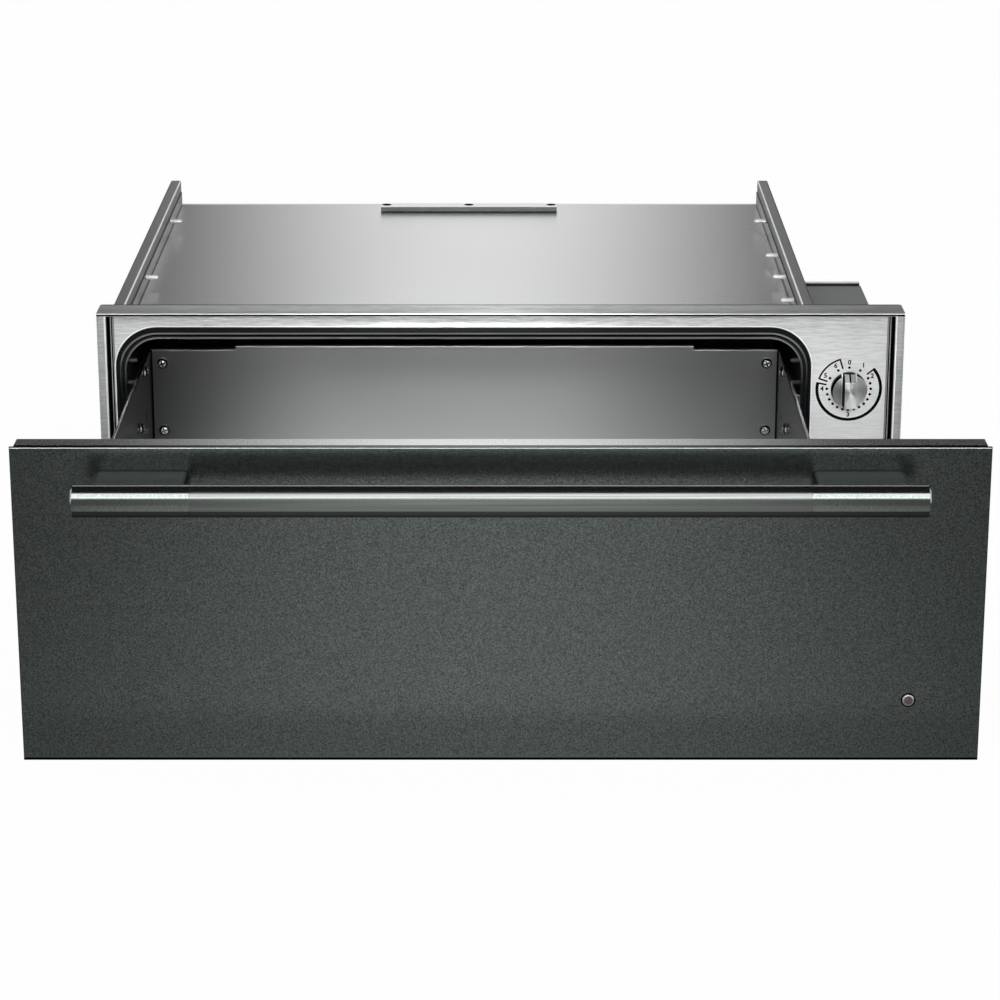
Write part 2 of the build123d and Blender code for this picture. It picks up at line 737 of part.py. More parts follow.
with BuildPart() as control_cover:
    with BuildSketch(across(BOX_BACK - SHEET - BOX_SLIT)):
        fold(
            [(box_left, cover_top), (box_right, cover_top), (box_right, cover_top - COVER_SKIRT)],
            Side.RIGHT,
        )
    extrude(amount=BOX_BACK - SHEET - BOX_SLIT - panel_front)
write(control_cover, "control_cover")

switch_back = plate_back + SWITCH_D
with BuildPart() as heat_control:
    block(
        (dial_x - SWITCH_W / 2, dial_x + SWITCH_W / 2),
        (plate_back, switch_back),
        (dial_z - SWITCH_H / 2, dial_z + SWITCH_H / 2),
    )
    fillet(heat_control.edges().filter_by(Axis.Y), SWITCH_R)
    rod((dial_x, plate_back, dial_z), (0, -1, 0), BUSH_R, SHEET)
    rod(
        (dial_x, plate_front - SHEET, dial_z),
        (0, 1, 0),
        SHAFT_R + SHAFT_FIT,
        SHEET + SHEET + SHAFT_DEPTH + SHAFT_FIT,
        mode=Mode.SUBTRACT,
    )
    with Locations((dial_x, switch_back + BLADE_L / 2, dial_z)):
        with GridLocations(BLADE_STEP, 0, 2, 1):
            Box(BLADE_T, BLADE_L, BLADE_W)
write(heat_control, "heat_control")

shaft_end = plate_back + SHAFT_DEPTH
knob_back = plate_front - KNOB_LIFT
knob_front = knob_back - KNOB_T
disc_front = knob_back - KNOB_DISC_T
shaft_front = knob_back - SHAFT_IN_KNOB
dial_plane = Plane(origin=(dial_x, knob_back, dial_z), x_dir=(1, 0, 0), z_dir=(0, -1, 0))


def shaft_section(fit):
    """Round section with one flat, grown by a fit."""
    Circle(SHAFT_R + fit)
    with Locations((0, SHAFT_FLAT + fit + SHAFT_R)):
        Rectangle(4 * SHAFT_R, 2 * SHAFT_R, mode=Mode.SUBTRACT)


with BuildPart() as control_knob:
    with BuildSketch(dial_plane):
        Circle(KNOB_R)
    extrude(amount=KNOB_DISC_T)
    fillet(control_knob.faces().sort_by(Axis.Y)[0].edges(), KNOB_EDGE_R)
    # the grip is a bar across the disc, with round ends and a slope at its pointer end
    with BuildSketch(dial_plane.offset(KNOB_DISC_T - KNOB_EDGE_R)) as grip_outline:
        Circle(KNOB_R - KNOB_EDGE_R / 2)
        Rectangle(GRIP_W, 4 * KNOB_R, mode=Mode.INTERSECT)
    extrude(amount=KNOB_T - KNOB_DISC_T + KNOB_EDGE_R)
    tip = control_knob.edges().filter_by(GeomType.CIRCLE).group_by(Axis.Y)[0].sort_by(Axis.Z)[-1]
    chamfer(tip, GRIP_SLOPE, GRIP_SLOPE / 1.3)
    with BuildSketch(dial_plane.offset(KNOB_T)):
        with Locations((0, KNOB_R - GRIP_SLOPE)):
            Rectangle(POINTER_W, 1.6 * GRIP_SLOPE)
    extrude(amount=-GRIP_SLOPE / 2, mode=Mode.SUBTRACT)
    with BuildSketch(dial_plane):
        shaft_section(SHAFT_FIT)
    extrude(amount=SHAFT_IN_KNOB, mode=Mode.SUBTRACT)
write(control_knob, "control_knob")

with BuildPart() as control_shaft:
    with BuildSketch(Plane(origin=(dial_x, shaft_end, dial_z), x_dir=(1, 0, 0), z_dir=(0, -1, 0))):
        Circle(SHAFT_R)
    extrude(amount=shaft_end - knob_back)
    with BuildSketch(dial_plane):
        shaft_section(0)
    extrude(amount=SHAFT_IN_KNOB)
write(control_shaft, "control_shaft")

# ------------------------------------------------------------------ heater under the drawer box
heater_points = []
for i in range(RUNS):
    x = run_left + i * RUN_STEP
    near, far = RUN_FRONT, CAVITY_BACK - RUN_BACK_GAP
    start, stop = (far, near) if i % 2 == 0 else (near, far)
    start = CAVITY_BACK + HEATER_TAIL if i == 0 else start
    stop = CAVITY_BACK + HEATER_TAIL if i == RUNS - 1 else stop
    heater_points += [(x, start, heater_z), (x, stop, heater_z)]

with BuildPart() as heating_element:
    with BuildLine() as heater_line:
        FilletPolyline(*heater_points, radius=RUN_BEND_R)
    with BuildSketch(Plane(origin=heater_points[0], z_dir=(0, -1, 0))):
        Circle(TUBE_R)
    sweep(path=heater_line.wires()[0])
write(heating_element, "heating_element")

with BuildPart() as element_clips:
    for y in CLIP_ROWS:
        for i in range(RUNS):
            x = run_left + i * RUN_STEP
            clip_x = (x - CLIP_W / 2, x + CLIP_W / 2)
            block(clip_x, (y, y + SHEET), (FLOOR_TOP, heater_z + TUBE_R / 2))
            block(clip_x, (y, y + CLIP_FOOT), (FLOOR_TOP, FLOOR_TOP + SHEET))
            rod((x, y - CLIP_FOOT, heater_z), (0, 1, 0), TUBE_R + CLIP_FIT, 3 * CLIP_FOOT, mode=Mode.SUBTRACT)
            block(
                (x - TUBE_R - CLIP_FIT, x + TUBE_R + CLIP_FIT),
                (y, y + SHEET),
                (heater_z, heater_z + TUBE_R),
                mode=Mode.SUBTRACT,
            )
write(element_clips, "element_clips")

bushing_back = CAVITY_BACK + SHEET + BUSHING_TAIL
with BuildPart() as element_bushings:
    for x in heater_ends:
        rod((x, CAVITY_BACK, heater_z), (0, -1, 0), BUSHING_FLANGE_R - TUBE_LIFT, BUSHING_FLANGE_T)
        rod((x, CAVITY_BACK, heater_z), (0, 1, 0), BUSHING_R, bushing_back - CAVITY_BACK)
        rod(
            (x, CAVITY_BACK - 2 * BUSHING_FLANGE_T, heater_z),
            (0, 1, 0),
            TUBE_R + SHAFT_FIT,
            6 * BUSHING_TAIL,
            mode=Mode.SUBTRACT,
        )
write(element_bushings, "element_bushings")

limit_front = CAVITY_BACK + SHEET
with BuildPart() as limit_thermostat:
    block(
        (MOUTH_X - LIMIT_EAR / 2, MOUTH_X + LIMIT_EAR / 2),
        (limit_front, limit_front + SHEET),
        (limit_z - LIMIT_EAR_W / 2, limit_z + LIMIT_EAR_W / 2),
    )
    rod((MOUTH_X, limit_front, limit_z), (0, 1, 0), LIMIT_R, LIMIT_T)
    with Locations((MOUTH_X, limit_front + LIMIT_T + BLADE_L / 2, limit_z)):
        with GridLocations(LIMIT_R, 0, 2, 1):
            Box(BLADE_T, BLADE_L, BLADE_W)
write(limit_thermostat, "limit_thermostat")

# ------------------------------------------------------------------ supply
with BuildPart() as terminal_block:
    block(
        (terminal_x - BLOCK_W / 2, terminal_x + BLOCK_W / 2),
        (back_panel_front - BLOCK_D, back_panel_front),
        (GLAND_Z - BLOCK_H / 2, GLAND_Z + BLOCK_H / 2),
    )
    chamfer(terminal_block.edges().filter_by(Axis.X).group_by(Axis.Y)[0], SHEET)
    pole_step = BLOCK_W / BLOCK_POLES
    with BuildSketch(across(back_panel_front - BLOCK_D)):
        with Locations((terminal_x, GLAND_Z)):
            with GridLocations(pole_step, 0, BLOCK_POLES, 1):
                Circle(BLOCK_WELL_R)
    extrude(amount=-BLOCK_WELL_D, mode=Mode.SUBTRACT)
write(terminal_block, "terminal_block")

gland_plane = Plane(origin=(gland_x, back_panel_front + SHEET, GLAND_Z), z_dir=(0, 1, 0))
with BuildPart() as cable_gland:
    with BuildSketch(gland_plane):
        RegularPolygon(GLAND_NUT / 2, 6, major_radius=False)
    extrude(amount=GLAND_NUT_T)
    chamfer(cable_gland.faces().sort_by(Axis.Y)[-1].edges(), SHEET)
    with BuildSketch(gland_plane):
        Circle(GLAND_R)
    extrude(amount=-GLAND_BODY_L)
    with BuildSketch(gland_plane.offset(-SHEET)):
        RegularPolygon(GLAND_NUT / 2, 6, major_radius=False)
    extrude(amount=-GLAND_NUT_T)
    with BuildSketch(gland_plane.offset(GLAND_NUT_T)):
        Circle(GLAND_BORE_R)
    extrude(amount=-GLAND_BODY_L - GLAND_NUT_T, mode=Mode.SUBTRACT)
write(cable_gland, "cable_gland")

# ------------------------------------------------------------------ telescopic slides
# Three nested channels ride on two rows of balls each. Their sections are drawn at the left
# cavity wall: off is the distance from that wall, and half the half height of a channel.
# With the drawer open by TRAVEL, the middle member has moved half of it, and each cage half
# of the way between the two members that it rolls on.
outer_race = OUTER_HALF - MEMBER_T
middle_race = MIDDLE_HALF - MEMBER_T
outer_ball_r = (outer_race - MIDDLE_HALF) / 2 - RACE_GAP
inner_ball_r = (middle_race - INNER_HALF) / 2 - RACE_GAP
outer_ball_z = (outer_race + MIDDLE_HALF) / 2
inner_ball_z = (middle_race + INNER_HALF) / 2


def channel(off, half, reach, lip, side, thickness, radius):
    """Section of a channel with its web at off, flanges of a given reach and turned lips."""
    web = wall_left + off
    tip = web + reach
    points = [(web, half), (web, -half)]
    lips = [(tip, half), (tip, half - lip)] if lip else [(tip, half)]
    points = list(reversed(lips)) + points + [(x, -z) for x, z in lips]
    fold([(x, slide_z + z) for x, z in points], side, thickness, radius)


def member(off, half, reach, lip, side, front, end_gap, drawn_out=0):
    """One channel of a slide: its ends with the drawer shut, and how far it is drawn out."""
    back = CAVITY_BACK - end_gap
    with BuildPart() as piece:
        with BuildSketch(across(back - drawn_out)):
            channel(off, half, reach, lip, side, MEMBER_T, MEMBER_BEND)
        extrude(amount=back - front)
    return piece


def ball_cage(off, reach, ball_off, ball_z, ball_r, middle):
    """A thin channel with a hole for each ball, and the balls that it spaces."""
    ball_x = wall_left + ball_off
    ball_rows = [middle + (i - (BALLS_IN_ROW - 1) / 2) * BALL_STEP for i in range(BALLS_IN_ROW)]
    with BuildPart() as cage:
        with BuildSketch(across(middle + CAGE_L / 2)):
            channel(off, ball_z + CAGE_T / 2, reach, 0, Side.LEFT, CAGE_T, CAGE_BEND)
        extrude(amount=CAGE_L)
        for y in ball_rows:
            start = (ball_x, y, slide_z - 2 * ball_z)
            rod(start, (0, 0, 1), ball_r + BALL_FIT, 4 * ball_z, mode=Mode.SUBTRACT)
        with Locations(*[(ball_x, y, slide_z + s * ball_z) for y in ball_rows for s in (-1, 1)]):
            Sphere(ball_r)
    return cage


slide_outer = member(0, OUTER_HALF, OUTER_REACH, MEMBER_LIP, Side.LEFT, OUTER_FRONT, OUTER_END_GAP)
write_pair(slide_outer, "slide_outer", CAVITY_MIDDLE)

slide_middle = member(
    MIDDLE_OFF, MIDDLE_HALF, MIDDLE_REACH, MIDDLE_LIP, Side.LEFT, MIDDLE_FRONT, MIDDLE_END_GAP, TRAVEL / 2
)
write_pair(slide_middle, "slide_middle", CAVITY_MIDDLE)

slide_inner = member(
    SLIDE_ROOM, INNER_HALF, -INNER_REACH, MEMBER_LIP, Side.RIGHT, INNER_FRONT, INNER_END_GAP, TRAVEL
)
write_pair(slide_inner, "slide_inner", CAVITY_MIDDLE)

outer_cage = ball_cage(
    OUTER_CAGE_OFF, OUTER_CAGE_REACH, OUTER_BALL_OFF, outer_ball_z, outer_ball_r, CAGE_MID - TRAVEL / 4
)
write_pair(outer_cage, "ball_cage_outer", CAVITY_MIDDLE)

inner_cage = ball_cage(
    INNER_CAGE_OFF, INNER_CAGE_REACH, INNER_BALL_OFF, inner_ball_z, inner_ball_r, CAGE_MID - TRAVEL * 3 / 4
)
write_pair(inner_cage, "ball_cage_inner", CAVITY_MIDDLE)

# ------------------------------------------------------------------ drawer front
skin_half = FRONT_W / 2
body_half = skin_half - BODY_SIDE_GAP
body_z = (front_bottom + BODY_END_GAP, front_top - BODY_END_GAP)
bolt_xs = [s * post_mid + t * POST_SCREW_STEP / 2 for s in (-1, 1) for t in (-1, 1)]

with BuildPart() as front_skin:
    block((-skin_half, skin_half), (front_face, front_face + SKIN_D), (front_bottom, front_top))
    fillet(front_skin.faces().sort_by(Axis.Y)[0].edges(), SKIN_R)
    block(
        (-skin_half + SKIN_T, skin_half - SKIN_T),
        (skin_inner, front_face + SKIN_D),
        (front_bottom + SKIN_T, front_top - SKIN_T),
        mode=Mode.SUBTRACT,
    )
    for x in bolt_xs:
        rod((x, front_face, bar_z), (0, 1, 0), HANDLE_SCREW_R + HOLE_GAP, 2 * SKIN_T, mode=Mode.SUBTRACT)
    rod((lamp_x, front_face, lamp_z), (0, 1, 0), BARREL_R + HOLE_GAP, 2 * SKIN_T, mode=Mode.SUBTRACT)
write(front_skin, "front_skin")

with BuildPart() as front_body:
    block((-body_half, body_half), (skin_inner, front_back), body_z)
    block(
        (-body_half + SHEET, body_half - SHEET),
        (skin_inner, front_back - SHEET),
        (body_z[0] + SHEET, body_z[1] - SHEET),
        mode=Mode.SUBTRACT,
    )
write(front_body, "front_body")

with BuildPart() as front_insulation:
    soft = SHEET + SOFT_GAP
    block(
        (-body_half + soft, body_half - soft),
        (skin_inner + SOFT_GAP, front_back - soft),
        (body_z[0] + soft, body_z[1] - soft),
    )
    for x, z in [(x, bar_z) for x in bolt_xs] + [(lamp_x, lamp_z)]:
        rod((x, front_face, z), (0, 1, 0), CLEAR_R, 2 * FRONT_T, mode=Mode.SUBTRACT)
write(front_insulation, "front_insulation")

liner_outline = (-LINER_MARGIN, -LINER_MARGIN, OPENING_R + LINER_MARGIN)
liner_inside = (LINER_T - LINER_MARGIN, LINER_T - LINER_MARGIN, OPENING_R + LINER_MARGIN - LINER_T)
with BuildPart() as front_liner:
    with BuildSketch(mouth_plane(liner_back)):
        ring_outline(*liner_outline)
    extrude(amount=liner_depth)
    fillet(front_liner.faces().sort_by(Axis.Y)[-1].edges(), LINER_R)
    with BuildSketch(mouth_plane(liner_back - LINER_T)):
        ring_outline(*liner_inside)
    extrude(amount=liner_depth - LINER_T, mode=Mode.SUBTRACT)
    for x in (drawer_left + SCREW_INSET, drawer_right - SCREW_INSET):
        for z in front_screw_heights:
            start = (x, liner_back - 2 * LINER_T, z)
            rod(start, (0, 1, 0), SCREW_R + HOLE_GAP, 3 * LINER_T, mode=Mode.SUBTRACT)
write(front_liner, "front_liner")

# ------------------------------------------------------------------ handle
with BuildPart() as handle_tube:
    with BuildSketch(Plane(origin=(-tube_half + JOINT_GAP, bar_y, bar_z), z_dir=(1, 0, 0))):
        Circle(BAR_R)
        Circle(BAR_BORE_R, mode=Mode.SUBTRACT)
    extrude(amount=2 * (tube_half - JOINT_GAP))
write(handle_tube, "handle_tube")

with BuildPart() as handle_end:
    rod((-tube_half, bar_y, bar_z), (-1, 0, 0), BAR_R, FERRULE_L)
    chamfer(handle_end.faces().sort_by(Axis.X)[0].edges(), END_CHAMFER)
    rod((-tube_half, bar_y, bar_z), (1, 0, 0), BAR_BORE_R - SPIGOT_FIT, SPIGOT_L)
    for x in bolt_xs[:2]:
        rod(
            (x, bar_y + BAR_R, bar_z),
            (0, -1, 0),
            HANDLE_SCREW_R + HOLE_GAP,
            HANDLE_SCREW_BITE + HOLE_GAP,
            mode=Mode.SUBTRACT,
        )
write_pair(handle_end, "handle_end", FRONT_MIDDLE)

# the post's tip is a saddle that the bar lies in
saddle_y = bar_y + math.sqrt(BAR_R**2 - (POST_H / 2) ** 2)
with BuildPart() as handle_post:
    with BuildSketch(across(front_face)):
        with Locations((-post_mid, bar_z)):
            RectangleRounded(POST_W, POST_H, POST_R)
    extrude(amount=front_face - saddle_y)
    rod((-post_mid - POST_W, bar_y, bar_z), (1, 0, 0), BAR_R + SADDLE_GAP, 2 * POST_W, mode=Mode.SUBTRACT)
    for x in bolt_xs[:2]:
        rod((x, front_face, bar_z), (0, -1, 0), HANDLE_SCREW_R + HOLE_GAP, BAR_OFF, mode=Mode.SUBTRACT)
write_pair(handle_post, "handle_post", FRONT_MIDDLE)

with BuildPart() as handle_screws:
    for x in bolt_xs:
        rod((x, skin_inner, bar_z), (0, 1, 0), HANDLE_SCREW_HEAD_R, HANDLE_SCREW_HEAD_T)
        rod((x, skin_inner, bar_z), (0, -1, 0), HANDLE_SCREW_R, skin_inner - (bar_y + BAR_R) + HANDLE_SCREW_BITE)
write(handle_screws, "handle_screws")

# ------------------------------------------------------------------ indicator lamp
barrel_back = front_face + BARREL_L
lamp_axis = Axis((lamp_x, 0, lamp_z), (0, 1, 0))


def turned(points):
    """A turned piece on the lamp's axis, from points of (radius, y)."""
    with BuildSketch(Plane(origin=(lamp_x, 0, lamp_z), z_dir=(0, 0, 1))) as section:
        with BuildLine():
            Polyline(*points, close=True)
        make_face()
    revolve(section.sketch, axis=lamp_axis)


with BuildPart() as indicator_bezel:
    turned(
        [
            (LENS_R + LAMP_FIT, front_face - BEZEL_PROUD),
            (BEZEL_R - BEZEL_PROUD / 2, front_face - BEZEL_PROUD),
            (BEZEL_R, front_face - BEZEL_PROUD / 2),
            (BEZEL_R, front_face),
            (BARREL_R, front_face),
            (BARREL_R, barrel_back),
            (LENS_R + LAMP_FIT, barrel_back),
        ]
    )
write(indicator_bezel, "indicator_bezel")

with BuildPart() as indicator_lens:
    turned(
        [
            (0, front_face - LENS_PROUD),
            (LENS_R / 2, front_face - LENS_PROUD * 0.9),
            (LENS_R, front_face - BEZEL_PROUD),
            (LENS_R, front_face - BEZEL_PROUD + LENS_L),
            (0, front_face - BEZEL_PROUD + LENS_L),
        ]
    )
write(indicator_lens, "indicator_lens")

with BuildPart() as indicator_lamp:
    rod((lamp_x, barrel_back, lamp_z), (0, 1, 0), BARREL_R, LAMP_L / 2)
    rod((lamp_x, barrel_back, lamp_z), (0, 1, 0), BARREL_R / 2, LAMP_L)
    rod((lamp_x, barrel_back, lamp_z), (0, -1, 0), LENS_R, BARREL_L + BEZEL_PROUD - LENS_L - LAMP_FIT)
write(indicator_lamp, "indicator_lamp")

# ------------------------------------------------------------------ drawer box
side_back = back_out + SHEET
with BuildPart() as drawer_side:
    with BuildSketch(across(side_back)):
        fold(
            [
                (drawer_left + FLOOR_SHELF, floor_under),
                (drawer_left, floor_under),
                (drawer_left, wall_top),
                (drawer_left - HEM_W, wall_top),
                (drawer_left - HEM_W, wall_top - HEM_H),
            ],
            Side.LEFT,
        )
    extrude(amount=side_back - liner_back)
    flange_x = (drawer_left, drawer_left + END_FLANGE)
    flange_z = (floor_under + END_FLANGE_INSET, wall_top - END_FLANGE_INSET)
    block(flange_x, (liner_back, liner_back + SHEET), flange_z)
    block(flange_x, (back_out, side_back), flange_z)
    rod(
        (drawer_left - 2 * SHEET, BACK_IN - SIDE_HOLE_AHEAD, slide_z),
        (1, 0, 0),
        SIDE_HOLE_R,
        4 * SHEET,
        mode=Mode.SUBTRACT,
    )
    for z in front_screw_heights:
        start = (drawer_left + SCREW_INSET, liner_back - SHEET, z)
        rod(start, (0, 1, 0), SCREW_R + HOLE_GAP, 3 * SHEET, mode=Mode.SUBTRACT)
    for z in back_screw_heights:
        start = (drawer_left + SCREW_INSET, back_out - SHEET, z)
        rod(start, (0, 1, 0), SCREW_R + HOLE_GAP, 3 * SHEET, mode=Mode.SUBTRACT)
write_pair(drawer_side, "drawer_side", CAVITY_MIDDLE)


def back_section(top):
    """Section of the drawer's back wall, with its top edge folded backwards."""
    fold(
        [
            (BACK_IN, floor_under + SHEET),
            (BACK_IN, top),
            (BACK_IN + BACK_HEM_D, top),
            (BACK_IN + BACK_HEM_D, top - BACK_HEM_H),
        ],
        Side.RIGHT,
    )


back_half = BOX_HALF - BACK_FIT
raise_half = BOX_HALF - BACK_RAISE_IN
with BuildPart() as drawer_back:
    with BuildSketch(Plane.YZ.offset(MOUTH_X - back_half)):
        back_section(wall_top)
    extrude(amount=2 * back_half)
    block(
        (MOUTH_X - raise_half, MOUTH_X + raise_half),
        (BACK_IN, BACK_IN + BACK_HEM_D),
        (wall_top - BACK_HEM_H, wall_top),
        mode=Mode.SUBTRACT,
    )
    with BuildSketch(Plane.YZ.offset(MOUTH_X - raise_half)):
        back_section(wall_top + BACK_RAISE)
    extrude(amount=2 * raise_half)
    for x in (drawer_left + SCREW_INSET, drawer_right - SCREW_INSET):
        for z in back_screw_heights:
            start = (x, BACK_IN - SHEET, z)
            rod(start, (0, 1, 0), SCREW_R + HOLE_GAP, 3 * SHEET, mode=Mode.SUBTRACT)
write(drawer_back, "drawer_back")

with BuildPart() as drawer_floor:
    floor_x = (drawer_left + FLOOR_FIT, drawer_right - FLOOR_FIT)
    block(floor_x, (liner_back, back_out), (floor_under, floor_under + SHEET))
write(drawer_floor, "drawer_floor")


def dome_screw(base, direction):
    """A screw with a domed head on the base point, and its shank behind it."""
    rod(base, direction, SCREW_HEAD_R, SCREW_HEAD_T / 3)
    with BuildSketch(Plane(origin=base, z_dir=direction).offset(SCREW_HEAD_T / 3)) as dome:
        Circle(SCREW_HEAD_R)
    extrude(dome.sketch, amount=SCREW_HEAD_T * 2 / 3, taper=45)
    rod(base, direction, SCREW_R, -2 * SHEET - SCREW_TAIL)


with BuildPart() as drawer_screws:
    for x in (drawer_left + SCREW_INSET, drawer_right - SCREW_INSET):
        for z in back_screw_heights:
            dome_screw((x, BACK_IN, z), (0, -1, 0))
        for z in front_screw_heights:
            dome_screw((x, liner_back + SHEET, z), (0, 1, 0))
write(drawer_screws, "drawer_screws")
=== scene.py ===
# %% [markdown]
# # A built-in warming drawer, dressed for the studio
#
# The solid parts come from CAD, already the right size and in the right place. They are loaded as
# a fixed frame, in metres, with the drawer standing open. Blender adds what makes metal look like
# metal: the camera, the light, a finish for each sheet, and the small printed and pressed details.

# %% Load the frame
import bmesh
import bpy
import math
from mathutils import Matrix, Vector


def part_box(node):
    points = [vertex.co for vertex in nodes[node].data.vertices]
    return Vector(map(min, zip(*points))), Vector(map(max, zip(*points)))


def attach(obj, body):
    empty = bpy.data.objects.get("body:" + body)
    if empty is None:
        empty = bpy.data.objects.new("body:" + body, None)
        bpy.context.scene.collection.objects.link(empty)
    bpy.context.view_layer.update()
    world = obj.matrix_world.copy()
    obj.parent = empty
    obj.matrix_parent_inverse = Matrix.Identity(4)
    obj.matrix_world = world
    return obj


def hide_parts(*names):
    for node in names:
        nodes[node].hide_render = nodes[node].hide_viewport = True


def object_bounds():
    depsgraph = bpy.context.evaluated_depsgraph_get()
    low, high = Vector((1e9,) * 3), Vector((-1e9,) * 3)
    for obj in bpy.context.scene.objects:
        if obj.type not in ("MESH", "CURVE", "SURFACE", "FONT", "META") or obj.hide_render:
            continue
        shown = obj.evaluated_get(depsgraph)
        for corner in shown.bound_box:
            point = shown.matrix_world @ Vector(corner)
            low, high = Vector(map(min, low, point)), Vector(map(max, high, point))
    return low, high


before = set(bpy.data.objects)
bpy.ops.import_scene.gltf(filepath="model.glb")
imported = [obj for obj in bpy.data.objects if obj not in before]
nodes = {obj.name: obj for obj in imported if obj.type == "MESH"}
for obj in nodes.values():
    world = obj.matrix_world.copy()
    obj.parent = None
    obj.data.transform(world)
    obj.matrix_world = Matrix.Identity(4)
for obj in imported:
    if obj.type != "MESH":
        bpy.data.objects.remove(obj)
scene = bpy.context.scene
cad_low, cad_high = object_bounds()
bpy.ops.object.select_all(action="DESELECT")
print("parts loaded:", len(nodes), "size in mm:", [round(v * 1000) for v in cad_high - cad_low])

# %% [markdown]
# ## Where the main surfaces are
#
# Most places are read from the frame, so a change in CAD moves the details with it. The dial's
# centre is the middle of its knob, and the plate behind it carries the printed scale.

# %% Places read from the frame
MM = 0.001


def box_mm(name):
    """The lowest and highest corner of a part, in mm."""
    low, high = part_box(name)
    return low / MM, high / MM


plate_low, plate_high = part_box("face_plate")
knob_low, knob_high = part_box("control_knob")
dial_x = (knob_low.x + knob_high.x) / 2
dial_z = (knob_low.z + knob_high.z) / 2
plate_face_y = plate_low.y
print("dial centre in mm:", round(dial_x * 1000, 1), round(dial_z * 1000, 1))

# %% [markdown]
# ## The camera
#
# The drawer was photographed from the front, standing height, with a long lens, which keeps the
# front almost rectangular while the chassis behind it narrows a little. The lens and place below
# put the corners of the front, the frame and the rear bracket where they are in the picture.

# %% Make the camera
LENS = 114.7
LOOK_DOWN = 17.9
camera_data = bpy.data.cameras.new("camera")
camera_data.sensor_width = 36.0
camera_data.lens = LENS
camera_data.shift_x = -0.0007
camera_data.clip_end = 50.0
camera = bpy.data.objects.new("camera", camera_data)
scene.collection.objects.link(camera)
camera.location = (0.0, -2.7625, 0.9422)
camera.rotation_euler = (math.radians(90.0 - LOOK_DOWN), 0.0, 0.0)
scene.camera = camera
scene.view_settings.view_transform = "Standard"
print("camera is", round(-camera.location.y, 2), "m in front")

# %% [markdown]
# ## One helper for colours and one for nodes
#
# Colours are written as a colour picker shows them, in sRGB. The shader works in linear light, so
# one function turns the one into the other. A second function adds a node, sets its sockets and
# links it, which keeps each recipe short.

# %% Helpers for materials
def linear(hex_colour):
    """sRGB hex to the linear RGBA that sockets take."""
    channels = [int(hex_colour[i:i + 2], 16) / 255 for i in (1, 3, 5)]
    return [c / 12.92 if c <= 0.04045 else ((c + 0.055) / 1.055) ** 2.4 for c in channels] + [1.0]


def add_node(material, kind, settings=None, **inputs):
    """Adds a node. Settings are its properties, and each input is a value or a socket to link from.

    An input is named as its socket is, with _ for a space, or i and a number where names repeat.
    """
    node = material.node_tree.nodes.new("ShaderNode" + kind)
    for name, value in (settings or {}).items():
        setattr(node, name, value)
    for name, value in inputs.items():
        by_number = name[0] == "i" and name[1:].isdigit()
        socket = node.inputs[int(name[1:]) if by_number else name.replace("_", " ")]
        if isinstance(value, bpy.types.NodeSocket):
            material.node_tree.links.new(value, socket)
        else:
            socket.default_value = value
    return node


def start_material(name):
    """An empty material, and the object's own coordinates in metres."""
    material = bpy.data.materials.new(name)
    material.use_nodes = True
    material.node_tree.nodes.clear()
    place = add_node(material, "TexCoord").outputs["Object"]
    return material, place


def close_material(material, shader):
    """Links the shader to the output."""
    add_node(material, "OutputMaterial", Surface=shader.outputs[0])
    return material


def close_finish(material, mask, dark, light, height, strength, depth, **look):
    """Ends a finish: two colours mixed by a mask, a relief from a height, and the rest of its look."""
    tint = add_node(material, "Mix", {"data_type": "RGBA"}, Factor=mask, i6=dark, i7=light)
    relief = add_node(material, "Bump", Height=height, Strength=strength, Distance=depth)
    shader = add_node(material, "BsdfPrincipled", Base_Color=tint.outputs[2], Normal=relief.outputs[0], **look)
    return close_material(material, shader)


def shader_of(material):
    """The one shader that holds a material's colour and gloss."""
    return next(node for node in material.node_tree.nodes if node.type == "BSDF_PRINCIPLED")


# %% [markdown]
# ## Lines that are finer than the sheet
#
# A photograph of sheet metal is full of hairlines: the shadow in a bend, the highlight on a deburred
# edge, the black gap of a joint. They are too thin to model and too telling to leave out, so they
# are painted into the finish through a mask, which is 1 where the paint goes and 0 elsewhere. Most
# of them are painted light: painted shade, painted shadows and painted highlights. The mask comes
# from the object's own coordinates, so it moves with the part.

# %% Masks by place
def region(material, x=None, y=None, z=None, middle_x=None):
    """A mask that is 1 inside a box, in mm. With middle_x, x is the distance from that middle."""
    place = add_node(material, "TexCoord").outputs["Object"]
    parts = add_node(material, "SeparateXYZ", Vector=place).outputs
    mask = None
    for axis, span in (("X", x), ("Y", y), ("Z", z)):
        if span is None:
            continue
        value = parts[axis]
        if axis == "X" and middle_x is not None:
            off = add_node(material, "Math", {"operation": "SUBTRACT"}, i0=value, i1=middle_x * MM)
            value = add_node(material, "Math", {"operation": "ABSOLUTE"}, i0=off.outputs[0]).outputs[0]
        inside = add_node(
            material, "Math", {"operation": "COMPARE"},
            i0=value, i1=(span[0] + span[1]) / 2 * MM, i2=(span[1] - span[0]) / 2 * MM,
        ).outputs[0]
        if mask is not None:
            inside = add_node(material, "Math", {"operation": "MULTIPLY"}, i0=mask, i1=inside).outputs[0]
        mask = inside
    return mask


